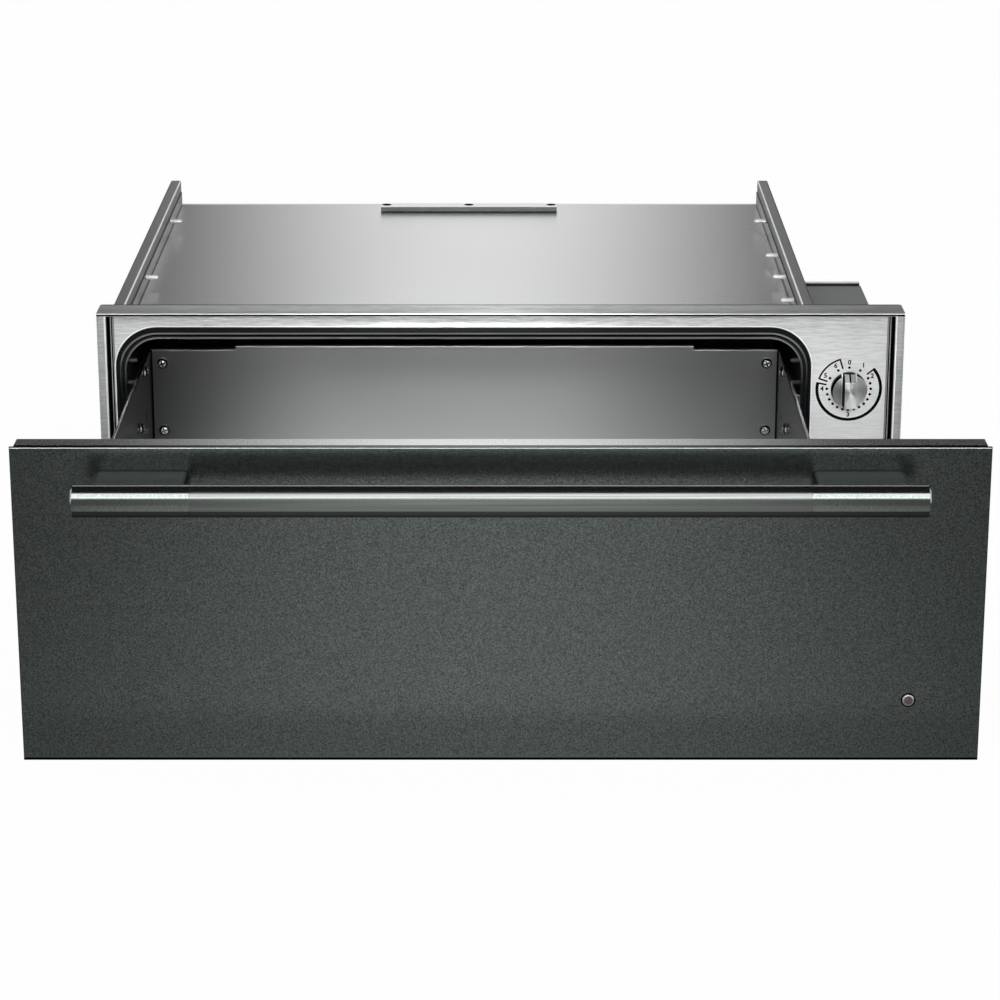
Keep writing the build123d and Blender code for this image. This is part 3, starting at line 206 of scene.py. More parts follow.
def outline(material, centre, half, radius, inner, outer):
    """A mask that is 1 between two distances, in mm, outside the outline of a rounded rectangle.

    A half size of zero gives a circle, and the distance is then the radius itself.
    """
    middle = (centre[0] * MM, 0.0, centre[1] * MM)
    core = (max(half[0] - radius, 0.0) * MM, 0.0, max(half[1] - radius, 0.0) * MM)
    zero = (0.0, 0.0, 0.0)
    place = add_node(material, "TexCoord").outputs["Object"]
    for step, by in (
        ("MULTIPLY", (1.0, 0.0, 1.0)), ("SUBTRACT", middle), ("ABSOLUTE", zero),
        ("SUBTRACT", core), ("MAXIMUM", zero),
    ):
        place = add_node(material, "VectorMath", {"operation": step}, i0=place, i1=by).outputs[0]
    far = add_node(material, "VectorMath", {"operation": "LENGTH"}, i0=place).outputs["Value"]
    return add_node(
        material, "Math", {"operation": "COMPARE"}, i0=far,
        i1=(radius + (inner + outer) / 2) * MM, i2=(outer - inner) / 2 * MM,
    ).outputs[0]


def fade(material, axis, start, end, most=1.0, easing="LINEAR"):
    """A mask that grows from 0 to its most between two places on an axis, in mm."""
    place = add_node(material, "TexCoord").outputs["Object"]
    along = add_node(material, "SeparateXYZ", Vector=place).outputs[axis]
    return add_node(
        material, "MapRange", {"interpolation_type": easing},
        Value=along, From_Min=start * MM, From_Max=end * MM, To_Max=most,
    ).outputs[0]


# %% [markdown]
# ### Paint through a mask
#
# Most paint only darkens or lightens the bare metal, and much of it is painted shade and painted
# highlights. For most painted highlights `bare` is off, so the mask also takes the metal away and
# leaves a matt white.

# %% Paint
def paint(material, mask, hex_colour, bare=True):
    """Lays a colour over the finish where the mask is 1. With bare off, the metal there turns matt."""
    tree = material.node_tree
    shader = shader_of(material)
    under = shader.inputs["Base Color"].links[0].from_socket
    over = add_node(material, "Mix", {"data_type": "RGBA"}, Factor=mask, i6=under, i7=linear(hex_colour))
    tree.links.new(over.outputs[2], shader.inputs["Base Color"])
    if not bare:
        full = shader.inputs["Metallic"].default_value
        less = add_node(material, "Math", {"operation": "SUBTRACT", "use_clamp": True}, i0=full, i1=mask)
        tree.links.new(less.outputs[0], shader.inputs["Metallic"])


def paint_box(material, hex_colour, bare=True, **box):
    """Paints what lies inside a box, given as region takes it."""
    paint(material, region(material, **box), hex_colour, bare)


# %% [markdown]
# ## Brushed stainless steel
#
# The frame and the plate are AISI 304 sheet with a number 4 finish: an abrasive belt has drawn
# long parallel scratches from left to right. Real ones are a few hundredths of a millimetre apart,
# far under a pixel here, so they are drawn about a millimetre apart and twenty long, which reads
# the same. They change the colour a little, the roughness more, and tilt the surface slightly.

# %% Brushed stainless steel
def brushed_steel(name, colour, dark, roughness, stretch, contrast=0.5, bump=0.05, spread=0.0):
    """Metal with scratches along the long side of the stretch, which is cells per metre on X, Y and Z."""
    material, place = start_material(name)
    scaled = add_node(material, "Mapping", Vector=place, Scale=stretch)
    scratches = add_node(
        material, "TexNoise", Vector=scaled.outputs[0], Scale=1.0, Detail=4.0, Roughness=0.7
    ).outputs["Fac"]
    band = add_node(material, "ValToRGB", Fac=scratches)
    band.color_ramp.elements[0].position = 0.5 - contrast / 2
    band.color_ramp.elements[1].position = 0.5 + contrast / 2
    rough = add_node(
        material, "MapRange", Value=scratches, From_Min=0.3, From_Max=0.7,
        To_Min=roughness + 0.05, To_Max=roughness - 0.05,
    )
    return close_finish(
        material, band.outputs["Color"], linear(dark), linear(colour), scratches, bump, 0.0004,
        Metallic=1.0, Roughness=rough.outputs[0], Anisotropic=spread, Anisotropic_Rotation=0.25,
    )


# %% [markdown]
# ### The face plate
#
# One flat sheet with a rounded opening, cut by laser and deburred; its edge gets a painted
# highlight, a fine bright line. Above the opening the plate mirrors the grey of the room. Lower down
# it is painted lighter, painted light. At its right end it is folded back, and a soft grey line of
# painted shade runs along both its ends.

# %% Face plate
OPENING_RADIUS = 38.0
GASKET_GAP = 0.3
EDGE_HIGHLIGHT = 1.1
PLATE_FOLD_SHADE = (347.8, 350.0)
mouth_low, mouth_high = box_mm("mouth_gasket")
mouth_middle = ((mouth_low.x + mouth_high.x) / 2, (mouth_low.z + mouth_high.z) / 2)
mouth_half = ((mouth_high.x - mouth_low.x) / 2 + GASKET_GAP, (mouth_high.z - mouth_low.z) / 2 + GASKET_GAP)
plate_finish = brushed_steel(
    "stainless_belt_brushed", "#E8E9E8", "#A8AAA9", 0.42, (55.0, 1100.0, 1100.0), 0.42, 0.3, 0.8
)
# painted light: the plate is painted whiter towards the bottom
paint(plate_finish, fade(plate_finish, "Z", 215.0, 160.0, 0.6), "#FFFFFF")
# painted shade: a grey line along both ends
paint_box(plate_finish, "#8A8C8B", x=PLATE_FOLD_SHADE, middle_x=0.0)
# painted highlight: a matt white line along the opening's edge
edge_highlight = outline(plate_finish, mouth_middle, mouth_half, OPENING_RADIUS, 0.0, EDGE_HIGHLIGHT)
paint(plate_finish, edge_highlight, "#FFFFFF", bare=False)
print("opening in mm:", [round(2 * half) for half in mouth_half])

# %% [markdown]
# ### The frame round the plate
#
# The top flange is bent down at its front. The bend gets a bright painted highlight, and the lip's
# lower edge is painted black, a painted shadow over the plate. Each side strip is folded twice: the
# groove between the strip and the plate is painted nearly black as shade, and the strip's inner
# corner gets a bright painted highlight again.

# %% Top flange and side strips
BEND_HIGHLIGHT = (224.2, 224.9)
BEND_SHADE = (222.7, 224.2)
LIP = (-1.0, 1.2)
FLANGE_REAR = (30.6, 34.0)
flange_finish = brushed_steel(
    "stainless_belt_brushed_flange", "#E0E1E0", "#A2A4A3", 0.42, (55.0, 700.0, 1100.0), 0.42, 0.3, 0.6
)
# painted highlight on the bend
paint_box(flange_finish, "#FFFFFF", bare=False, y=LIP, z=BEND_HIGHLIGHT)
# painted shadow under the lip
paint_box(flange_finish, "#060707", y=LIP, z=BEND_SHADE)
paint_box(flange_finish, "#4A4C4B", y=FLANGE_REAR)

PLATE_GAP = 4.3
GROOVE_DEPTH = (0.6, 14.0)
TAB_SHADE, FOLD = (347.0, 350.7), 351.4
TOP_JOINT = (222.4, 224.0)
strip_inner = plate_high.x / MM + PLATE_GAP
strip_finish = brushed_steel(
    "stainless_belt_brushed_strip", "#D6D8D7", "#9EA09F", 0.5, (60.0, 500.0, 1100.0), 0.42, 0.22, 0.5
)
# painted shade in the groove beside the plate
paint_box(strip_finish, "#101111", x=TAB_SHADE, y=GROOVE_DEPTH, middle_x=0.0)
paint_box(strip_finish, "#060707", x=(FOLD, strip_inner + 0.1), y=GROOVE_DEPTH, middle_x=0.0)
# painted highlight on the strip's inner corner
paint_box(
    strip_finish, "#FFFFFF", bare=False,
    x=(strip_inner - 0.3, strip_inner + 1.5), y=(-1.0, 1.6), middle_x=0.0,
)
paint_box(strip_finish, "#0B0C0C", z=TOP_JOINT)

# %% [markdown]
# ## Plain sheet of the chassis
#
# The side walls, the top cover and the back are cold-rolled stainless sheet as it leaves the mill,
# a 2B finish: even, a little milky, with a soft reflection and hardly any direction. A very faint
# cloudiness, about two hands wide, is the trace of the rolls and of handling.

# %% Mill-finish sheet
def mill_sheet(name, colour, dark, roughness, bump=0.04):
    """Even metal with a faint cloud and a fine grain."""
    material, place = start_material(name)
    cloud = add_node(material, "TexNoise", Vector=place, Scale=5.0, Detail=1.0, Roughness=0.4).outputs["Fac"]
    grain = add_node(material, "TexNoise", Vector=place, Scale=900.0, Detail=2.0, Roughness=0.6)
    rough = add_node(material, "MapRange", Value=cloud, To_Min=roughness - 0.02, To_Max=roughness + 0.02)
    return close_finish(
        material, cloud, linear(dark), linear(colour), grain.outputs["Fac"], bump, 0.0002,
        Metallic=1.0, Roughness=rough.outputs[0],
    )


# %% [markdown]
# ### Walls and top cover
#
# The cover is a shallow tray between the side walls. Where its edges turn up, the bend is a dark
# line of painted shade, and the turned-up edge is painted darker, as it stands in shade. The cover's
# rear edge is a sheared one and gets a painted highlight, as the top edge of each wall's inner skin
# does.

# %% Walls and top cover
LINER_EDGE_HIGHLIGHT = (222.6, 224.0)
SHEET = 1.2
COVER_BEND_SHADE = (2.3, 1.1)
REAR_HIGHLIGHT = 5.0
chassis_finish = mill_sheet("stainless_mill_2b", "#AEB0AF", "#A1A3A2", 0.4)
# a darker copy of the chassis sheet: painted shade inside the mouth, with a rougher surface
cavity_finish = mill_sheet("stainless_mill_2b_painted_shade", "#6E6F6E", "#5F6060", 0.5)
liner_edge_finish = mill_sheet("stainless_mill_2b_liner", "#8E908F", "#838584", 0.4)
# painted highlight on the top edge of each wall's inner skin
paint_box(liner_edge_finish, "#FFFFFF", bare=False, z=LINER_EDGE_HIGHLIGHT)

cover_low, cover_high = box_mm("top_cover")
cover_middle = (cover_low.x + cover_high.x) / 2
cover_half = (cover_high.x - cover_low.x) / 2
cover_top = cover_low.z + SHEET
cover_finish = mill_sheet("stainless_mill_2b_cover", "#D0D1D0", "#D0D2D1", 0.28, 0.01)
# painted shade in the bends where the edges turn up
paint_box(
    cover_finish, "#161717", middle_x=cover_middle,
    x=(cover_half - COVER_BEND_SHADE[0], cover_half - COVER_BEND_SHADE[1]), z=(cover_top - 1.0, cover_top + SHEET),
)
# a dark line along the top edge of the turned-up sides
paint_box(cover_finish, "#161717", z=(cover_high.z - SHEET, cover_high.z + 1.0))
# painted shade on the turned-up sides
paint_box(cover_finish, "#636564", z=(cover_top + SHEET, cover_high.z - SHEET))
# painted highlight on the rear edge
paint_box(
    cover_finish, "#E4E6E5", bare=False,
    y=(cover_high.y - REAR_HIGHLIGHT, cover_high.y + 1.0), z=(cover_top - 0.3, cover_top + 0.3),
)
print("cover's top face at", round(cover_top, 1), "mm")

# %% [markdown]
# ### The rear bracket
#
# A small channel of sheet stands on the cover and takes the holding screws. Its level top is painted
# white as a highlight, its upright front is painted dark as shade, darker still at its foot, and its
# inside is painted black as shade.

# %% Rear bracket
UNDER, FOOT = 190.0, 200.9
bracket_low, bracket_high = box_mm("rear_bracket")
bracket_finish = mill_sheet("stainless_mill_2b_bracket", "#E4E5E4", "#DADCDB", 0.45)
front_sheet = (bracket_low.y - 0.5, bracket_low.y + 0.3)
inside = (bracket_low.y + 0.9, bracket_high.y - 0.9)
under_top = bracket_high.z - 0.15
# painted shade on the upright front, and below it darker still at its foot
paint_box(bracket_finish, "#4A4C4B", y=front_sheet)
paint_box(bracket_finish, "#1C1D1D", y=front_sheet, z=(UNDER, FOOT))
# painted shade inside the channel
paint_box(bracket_finish, "#020202", y=inside, z=(UNDER, under_top))
# painted highlight on the top
paint_box(bracket_finish, "#FFFFFF", bare=False, z=(under_top, bracket_high.z + 1.0))

# %% [markdown]
# ### The drawer box
#
# The box is ground finer than the chassis, since food dishes stand in it. Its back wall is bright in
# its middle and painted darker towards both sides, more so to the left, a painted reflection of the
# dark side walls. The inner faces of the sides are painted dark, the left darker than the right, a
# painted reflection of the dark mouth. In each corner a gap to the back wall makes a black line.

# %% Drawer box
CORNER_LINE = 0.9
SIDE_CORNER = 8.0
back_low, back_high = box_mm("drawer_back")
drawer_finish = mill_sheet("stainless_fine_ground", "#C8C9C8", "#BABBBA", 0.42)
# painted reflection: the back wall darkens towards both sides
for start, end, most in ((-150.0, -330.0, 0.8), (20.0, 240.0, 0.46)):
    paint(drawer_finish, fade(drawer_finish, "X", start, end, most, "SMOOTHSTEP"), "#303131")
paint_box(drawer_finish, "#050505", x=(back_low.x - 1.0, back_low.x + CORNER_LINE))
paint_box(drawer_finish, "#050505", x=(back_high.x - CORNER_LINE, back_high.x + 1.0))

drawer_side_finish = mill_sheet("stainless_mill_bright", "#A0A2A1", "#949695", 0.2)
side_corner = back_low.y - SIDE_CORNER
# painted reflection on the inner face of the right side
paint_box(drawer_side_finish, "#4C4E4D", x=(225.0, back_high.x + 0.8))
paint_box(drawer_side_finish, "#020202", y=(side_corner, back_low.y + 4.0))
# painted reflection on the inner face of the left side, darker
paint_box(drawer_side_finish, "#262827", x=(back_low.x - 0.8, -300.0), y=(-400.0, side_corner))
liner_finish = mill_sheet("stainless_fine_ground_liner", "#9C9E9D", "#8F9190", 0.4)
slide_finish = mill_sheet("steel_zinc_plated_bright", "#B4B9BC", "#A0A6AA", 0.3)

# %% [markdown]
# ### The stepped ring in the mouth
#
# Behind the rubber bead a pressed ring steps down into the hot box in three stages. The faces that
# look at the camera catch light, and those that run inwards are painted nearly black as shade, each a
# little different. A black line of painted shade runs along the first step's inner edge, and the
# second step is painted darker as shade beyond a narrow bright band at its lip. The ring is also
# painted darker towards the bottom of its sides.

# %% Mouth ring
STEP_1, STEP_2 = 4.8, 11.0
INSET_1, INSET_2 = (5.0, 9.4), (7.5, 15.4)
RING_BACK = 40.0
first_step = mouth_high.y + STEP_1
second_step = first_step + STEP_2
ring_finish = mill_sheet("stainless_ring_painted_shade", "#CFD1D0", "#C2C4C3", 0.4)
# painted shade on the faces that run inwards
for hex_colour, front, back in (
    ("#0B0C0C", 0.0, first_step - 0.1),
    ("#1C1D1D", first_step + 0.4, second_step - 0.1),
    ("#050505", second_step + 0.4, RING_BACK),
):
    paint_box(ring_finish, hex_colour, y=(front, back))
step_half = [half - inset for half, inset in zip(mouth_half, INSET_1)]
# painted shade along the first step's inner edge
paint(ring_finish, outline(ring_finish, mouth_middle, step_half, 33.0, -0.2, 1.1), "#0B0C0C")
# darker towards the bottom of the sides
paint(ring_finish, fade(ring_finish, "Z", 198.0, 150.0), "#3A3B3B")
lip_half = [half - inset for half, inset in zip(mouth_half, INSET_2)]
# painted shade on the second step, beyond a bright band at its lip
beyond_lip = outline(ring_finish, mouth_middle, lip_half, 30.0, 1.5, 12.0)
deep = region(ring_finish, y=(second_step - 0.2, RING_BACK))
both = add_node(ring_finish, "Math", {"operation": "MULTIPLY"}, i0=beyond_lip, i1=deep)
paint(ring_finish, both.outputs[0], "#3F4140")
print("ring steps at", round(first_step, 1), "and", round(second_step, 1), "mm")

# %% [markdown]
# ## The drawer front's coat
#
# The front is steel under a dark green-grey satin coat with fine metallic flake. The flake shows
# as a light speckle of about a millimetre, and the coat spreads every reflection into a gradient.
# So the shader is dark and part metallic, with the speckle in its colour.

# %% Satin flake coat
def flake_coat(name, colour, fleck, metallic, roughness, flake=800.0):
    """Dark satin coat with fine flake, given as flakes per metre."""
    material, place = start_material(name)
    speckle = add_node(material, "TexNoise", Vector=place, Scale=flake, Detail=2.0, Roughness=0.75).outputs["Fac"]
    sharper = add_node(material, "MapRange", Value=speckle, From_Min=0.28, From_Max=0.76)
    return close_finish(
        material, sharper.outputs[0], linear(colour), linear(fleck), speckle, 0.08, 0.0002,
        Metallic=metallic, Roughness=roughness,
    )


# %% [markdown]
# ### Edges of the front
#
# The skin is folded back all round. Its upper bend gets a light painted highlight, and the face
# behind it is black, the dark joint to the body. At the bottom a lighter bend, a painted highlight,
# runs over a black line of painted shadow. A dark ring is painted on the coat round the lamp. The
# return of the front behind the skin is painted a much lighter copy of the coat, as painted light
# from above.

# %% Drawer front and its return
LAMP_RING = 5.9
front_low, front_high = box_mm("front_skin")
front_finish = flake_coat("steel_satin_flake_coat", "#454C49", "#9AA39F", 0.94, 0.2)
# painted highlight on the upper bend
paint_box(
    front_finish, "#A2AAA6",
    y=(front_low.y - 1.0, front_low.y + 0.5), z=(front_high.z - 1.1, front_high.z + 1.0),
)
paint_box(
    front_finish, "#010101",
    y=(front_low.y + 0.4, front_high.y + 1.0), z=(front_high.z - 0.5, front_high.z + 1.0),
)
# painted highlight on the lower bend
paint_box(front_finish, "#7A837F", z=(front_low.z + 2.4, front_low.z + 4.0))
# painted shadow along the bottom edge
paint_box(front_finish, "#020202", z=(front_low.z - 1.0, front_low.z + 2.4))
lamp_low, lamp_high = box_mm("indicator_bezel")
lamp_middle = ((lamp_low.x + lamp_high.x) / 2, (lamp_low.z + lamp_high.z) / 2)
# a dark ring painted round the lamp
paint(front_finish, outline(front_finish, lamp_middle, (0.0, 0.0), 0.0, -1.0, LAMP_RING), "#030404")
# a lighter copy of the coat: painted light from above
front_return_painted_light = flake_coat("steel_satin_coat_return_painted_light", "#A4ACA8", "#FFFFFF", 1.0, 0.22)
paint_box(front_return_painted_light, "#020202", y=(front_high.y - 2.0, front_high.y + 8.2))

# %% [markdown]
# ### The handle's posts
#
# The posts have the front's coat. A dark line of painted shade marks their foot and the edge that
# faces the middle.

# %% Handle posts
post_low, post_high = box_mm("handle_post_right")
post_finish = flake_coat("steel_satin_flake_coat_post", "#4A524F", "#525A57", 0.6, 0.42)
# painted shade at the foot
paint_box(post_finish, "#0C0E0D", y=(post_high.y - 2.6, post_high.y + 1.0))
# painted shade on the edge that faces the middle
paint_box(
    post_finish, "#0C0E0D", middle_x=0.0,
    x=(post_low.x - 1.0, post_low.x + 1.0), z=(0.0, post_high.z - 1.5),
)

# %% [markdown]
# ## The handle
#
# The bar is a stainless tube polished along its length, so it mirrors the room as long level bands:
# dark where it sees the front behind it, bright where it sees the overhead light. The two end
# pieces are finished a little smoother and brighter than the tube. Fine lines run along the bar,
# about a millimetre apart. Its underside is painted darker, a painted reflection of the dark front
# and floor.

# %% Polished bar
UNDERSIDE_SHADE = 0.18
bar_finish = brushed_steel("stainless_polished_bar", "#ACB1AD", "#7E8480", 0.2, (4.0, 900.0, 900.0), 0.6, 0.1)
bar_end_finish = brushed_steel(
    "stainless_polished_end", "#B9C0BB", "#8A918C", 0.15, (1100.0, 450.0, 450.0), 0.5, 0.05
)
tube_low, tube_high = box_mm("handle_tube")
underside_shade_top = (tube_low.z + tube_high.z) / 2 - UNDERSIDE_SHADE * (tube_high.z - tube_low.z)
# painted reflection: the underside of tube and ends is painted darker
for finish in (bar_finish, bar_end_finish):
    paint_box(finish, "#505350", z=(tube_low.z - 1.0, underside_shade_top))

# %% [markdown]
# ## The knob
#
# The knob is a zinc casting, turned on its face and plated satin. Turning leaves rings, and these
# spread every highlight along the radius, so the shine is stretched round the knob's axis. Its rim
# is painted as a black line of shade, and the shade round it is painted as a black crescent.

# %% Satin knob
knob_middle = (dial_x / MM, dial_z / MM)
knob_finish = brushed_steel(
    "zinc_casting_satin_plated", "#FAFBFA", "#DADCDB", 0.42, (900.0, 900.0, 60.0), 0.5, 0.06
)
shade_middle = (knob_middle[0] + 1.2, knob_middle[1] - 1.8)
# painted shade: the black rim and the black crescent round it
for centre, inner, outer in ((knob_middle, 16.1, 17.0), (shade_middle, 16.2, 20.0)):
    paint(knob_finish, outline(knob_finish, centre, (0.0, 0.0), 0.0, inner, outer), "#040404")
turning = add_node(knob_finish, "Tangent", {"direction_type": "RADIAL", "axis": "Y"})
knob_shader = shader_of(knob_finish)
knob_finish.node_tree.links.new(turning.outputs[0], knob_shader.inputs["Tangent"])
knob_shader.inputs["Anisotropic"].default_value = 0.8

# %% [markdown]
# ### Grip and pointer
#
# The grip across the middle has a dark line of painted shade and a bright painted highlight on its
# left, and a painted highlight on its right. Above the centre it ends in a slope, painted a little
# darker as shade, with a bright ridge of painted highlight and the dark pointer.

# %% Grip and pointer
GRIP_HALF = 5.5
# painted shade on the slope, then a painted highlight on the ridge
for hex_colour, half, low, high, bare in (
    ("#C4C6C5", GRIP_HALF, 9.4, 15.2, True),
    ("#FFFFFF", 4.6, 8.4, 9.4, False),
):
    paint_box(
        knob_finish, hex_colour, bare, middle_x=knob_middle[0],
        x=(0.0, half), z=(knob_middle[1] + low, knob_middle[1] + high),
    )
grip_left = knob_middle[0] - GRIP_HALF
# painted shade on the grip's left side
paint_box(knob_finish, "#020202", x=(grip_left - 0.8, grip_left + 0.7))
# painted highlights beside the grip, left and right
paint_box(knob_finish, "#FFFFFF", bare=False, x=(grip_left - 1.8, grip_left - 0.8))
paint_box(knob_finish, "#FFFFFF", bare=False, x=(grip_left + 10.9, grip_left + 11.8))
paint_box(
    knob_finish, "#1C1D1D", middle_x=knob_middle[0],
    x=(-0.8, 0.8), z=(knob_middle[1] + 8.5, knob_middle[1] + 15.5),
)

# %% [markdown]
# ## Plain finishes
#
# Rubber, paint, moulded plastic and ceramic differ mostly in how sharp their reflection is and how
# much grain they show. One recipe covers them: a slightly mottled colour, a roughness, and a fine
# relief of the real surface's size.

# %% One recipe for rubber, paint and mouldings
def even_finish(name, colour, roughness, grain=1500.0, relief=0.1, mottle=0.12, metallic=0.0, depth=0.0002):
    """A plain surface with a slight mottle and a fine grain."""
    material, place = start_material(name)
    cloud = add_node(material, "TexNoise", Vector=place, Scale=60.0, Detail=4.0, Roughness=0.6)
    fine = add_node(material, "TexNoise", Vector=place, Scale=grain, Detail=2.0, Roughness=0.6)
    full = linear(colour)
    darker = [c * (1 - mottle) for c in full[:3]] + [1.0]
    return close_finish(
        material, cloud.outputs["Fac"], darker, full, fine.outputs["Fac"], relief, depth,
        Metallic=metallic, Roughness=roughness,
    )


# %% [markdown]
# ### Small parts
#
# Electrical parts are phenolic, polyamide or glazed steatite, and the heater's sheath is oxidised
# nickel alloy. Mineral wool is the only finish here with a coarse relief.

# %% Finishes that need no paint
moulding_finish = even_finish("phenolic_black", "#26282A", 0.45)
terminal_finish = even_finish("polyamide_natural", "#DAD7CC", 0.5)
gland_finish = even_finish("polyamide_black", "#1E1F20", 0.55)
ceramic_finish = even_finish("steatite_glazed", "#E6E1D6", 0.25, relief=0.02)
sheath_finish = even_finish("nickel_alloy_oxidised", "#5E5853", 0.42, metallic=0.8, mottle=0.35)
zinc_finish = even_finish("steel_bright_plated", "#D2D4D4", 0.14, metallic=1.0, relief=0.02)
ball_finish = even_finish("bearing_steel_polished", "#D6D8D9", 0.1, metallic=1.0, relief=0.01)
holder_finish = even_finish("polycarbonate_white", "#E8E4DA", 0.4)
wool_finish = even_finish("mineral_wool", "#C9BE93", 0.95, grain=260.0, relief=0.9, mottle=0.45, depth=0.002)
bezel_finish = even_finish("brass_satin_plated", "#DEDADA", 0.38, metallic=1.0, relief=0.02)

# %% [markdown]
# ### Rubber, ink and the housing
#
# Silicone rubber and screen ink hardly shine, so their specular level is far under the usual 0.5.
# The bead's outer edge lies in the gap to the plate and is painted black as shade. The housing is
# steel in grey primer, and its raised lid edge is painted pale as a highlight, over a black line of
# painted shadow.

# %% Rubber, ink and the housing
LID_UNDER = 201.3
gasket_finish = even_finish("silicone_rubber_black", "#0F1010", 0.6)
bead_edge_shade = outline(gasket_finish, mouth_middle, mouth_half, OPENING_RADIUS, -1.8, 0.0)
# painted shade on the bead's outer edge, in the gap
paint(gasket_finish, bead_edge_shade, "#010101")
shader_of(gasket_finish).inputs["Specular IOR Level"].default_value = 0.15
ink_finish = even_finish("screen_print_black", "#050505", 0.9, relief=0.02)
shader_of(ink_finish).inputs["Specular IOR Level"].default_value = 0.1

box_high = box_mm("control_box")[1]
cover_end = box_mm("control_cover")[1].y
box_finish = even_finish("steel_grey_primer", "#777978", 0.6)
# painted highlight on the raised lid edge
paint_box(box_finish, "#D8DAD9", z=(LID_UNDER, box_high.z + 1.0))
# painted shadow under the lid edge
paint_box(box_finish, "#020202", y=(cover_end - 2.5, box_high.y - 0.6), z=(LID_UNDER - 2.4, LID_UNDER))

# %% [markdown]
# ### Plated screws
#
# Bright plated screws are so small here that only their contrast shows: a white crown in a flank
# painted black as shade, found by the way the surface faces. Those in the dark mouth are painted a
# darker grey as shade.

# %% Plated screws
CROWN, FLANK = -0.95, -0.87
MOUTH_DEPTH = (0.0, 60.0)
head_finish = even_finish("steel_plated_head_painted_shade", "#FFFFFF", 0.25, metallic=0.3, relief=0.02)
# painted shade: the flank, found by the way the surface faces, is painted black
facing = add_node(head_finish, "NewGeometry").outputs["Normal"]
turned = add_node(head_finish, "SeparateXYZ", Vector=facing).outputs["Y"]
flank = add_node(head_finish, "MapRange", Value=turned, From_Min=CROWN, From_Max=FLANK)
paint(head_finish, flank.outputs[0], "#050505")
screw_finish = even_finish("steel_bright_plated_screw", "#FFFFFF", 0.3, metallic=0.4, relief=0.02)
# painted shade on the screws in the dark mouth
paint_box(screw_finish, "#4A4C4B", y=MOUTH_DEPTH)

# %% [markdown]
# ## The lamp's lens
#
# The indicator is a small lens in a plated bezel. It is off in the photograph, so it is a smoky grey
# with a trace of red. A tinted body under a smooth clear coat gives that.

# %% Smoky lens
lens_finish, lens_place = start_material("polycarbonate_clear_red")
facets = add_node(lens_finish, "TexNoise", Vector=lens_place, Scale=400.0, Detail=1.0)
lens_tint = add_node(
    lens_finish, "Mix", {"data_type": "RGBA"},
    Factor=facets.outputs["Fac"], i6=linear("#54474A"), i7=linear("#6E6063"),
)
lens_body = add_node(
    lens_finish, "BsdfPrincipled",
    Base_Color=lens_tint.outputs[2], Roughness=0.08, Coat_Weight=0.6, Coat_Roughness=0.05,
)
close_material(lens_finish, lens_body)

# %% [markdown]
# ## Give each part its finish
#
# A part of the frame keeps its mesh, and only its material changes. The table pairs each finish
# with its parts, as a factory's finish sheet does. A left and a right part are named once.

# %% Assign the finishes
finish_sheet = [
    (plate_finish, "face_plate"),
    (flange_finish, "frame_top_flange frame_bottom_flange"),
    (strip_finish, "frame_side"),
    (chassis_finish, "side_skin back_panel base_pan"),
    (liner_edge_finish, "side_liner"),
    (cover_finish, "top_cover"),
    (bracket_finish, "rear_bracket"),
    (cavity_finish, "cavity_ceiling cavity_floor cavity_back element_clips"),
    (drawer_finish, "drawer_back"),
    (drawer_side_finish, "drawer_side"),
    (liner_finish, "front_liner drawer_floor"),
    (gasket_finish, "mouth_gasket"),
    (ring_finish, "mouth_ring"),
    (box_finish, "control_box control_cover"),
    (front_finish, "front_skin"),
    (front_return_painted_light, "front_body"),
    (post_finish, "handle_post"),
    (bar_finish, "handle_tube"),
    (bar_end_finish, "handle_end"),
    (knob_finish, "control_knob"),
    (slide_finish, "slide_outer slide_middle slide_inner"),
    (ball_finish, "ball_cage_outer ball_cage_inner"),
    (bezel_finish, "indicator_bezel"),
    (zinc_finish, "panel_screws drawer_screws handle_screws control_shaft"),
    (moulding_finish, "heat_control limit_thermostat"),
    (terminal_finish, "terminal_block"),
    (gland_finish, "cable_gland"),
    (ceramic_finish, "element_bushings"),
    (sheath_finish, "heating_element"),
    (holder_finish, "indicator_lamp"),
    (lens_finish, "indicator_lens"),
    (wool_finish, "cavity_insulation front_insulation"),
]
bare = set(nodes)
for finish, names in finish_sheet:
    for name in names.split():
        for part in [name] if name in nodes else [name + "_left", name + "_right"]:
            nodes[part].data.materials.clear()
            nodes[part].data.materials.append(finish)
            bare.remove(part)
print("parts still bare:", sorted(bare))

# %% [markdown]
# ## Light and background
#
# A product on white is lit by a big soft source overhead, with the white sweep filling in from all
# sides. The world is white where the camera, a mirror or glass looks at it, and a calmer grey where
# it only lights the parts, so the metal shows a white room while the light stays plain.

# %% World
ROOM_GREY = 0.6
world = bpy.data.worlds.new("white_room")
scene.world = world
world.use_nodes = True
world.node_tree.nodes.clear()
rays = add_node(world, "LightPath").outputs
seen = rays["Is Camera Ray"]
for ray in ("Is Transmission Ray", "Is Glossy Ray"):
    seen = add_node(world, "Math", {"operation": "MAXIMUM"}, i0=seen, i1=rays[ray]).outputs[0]
room = add_node(world, "MapRange", Value=seen, To_Min=ROOM_GREY, To_Max=1.0)
glow = add_node(world, "Background", Color=(1.0, 1.0, 1.0, 1.0), Strength=room.outputs[0])
add_node(world, "OutputWorld", Surface=glow.outputs[0])

# %% [markdown]
# ## The floor
#
# The drawer stands on a pale floor. Where the camera sees it, the floor is as white as the room,
# apart from the shadow, and everywhere else it is ordinary pale paper.

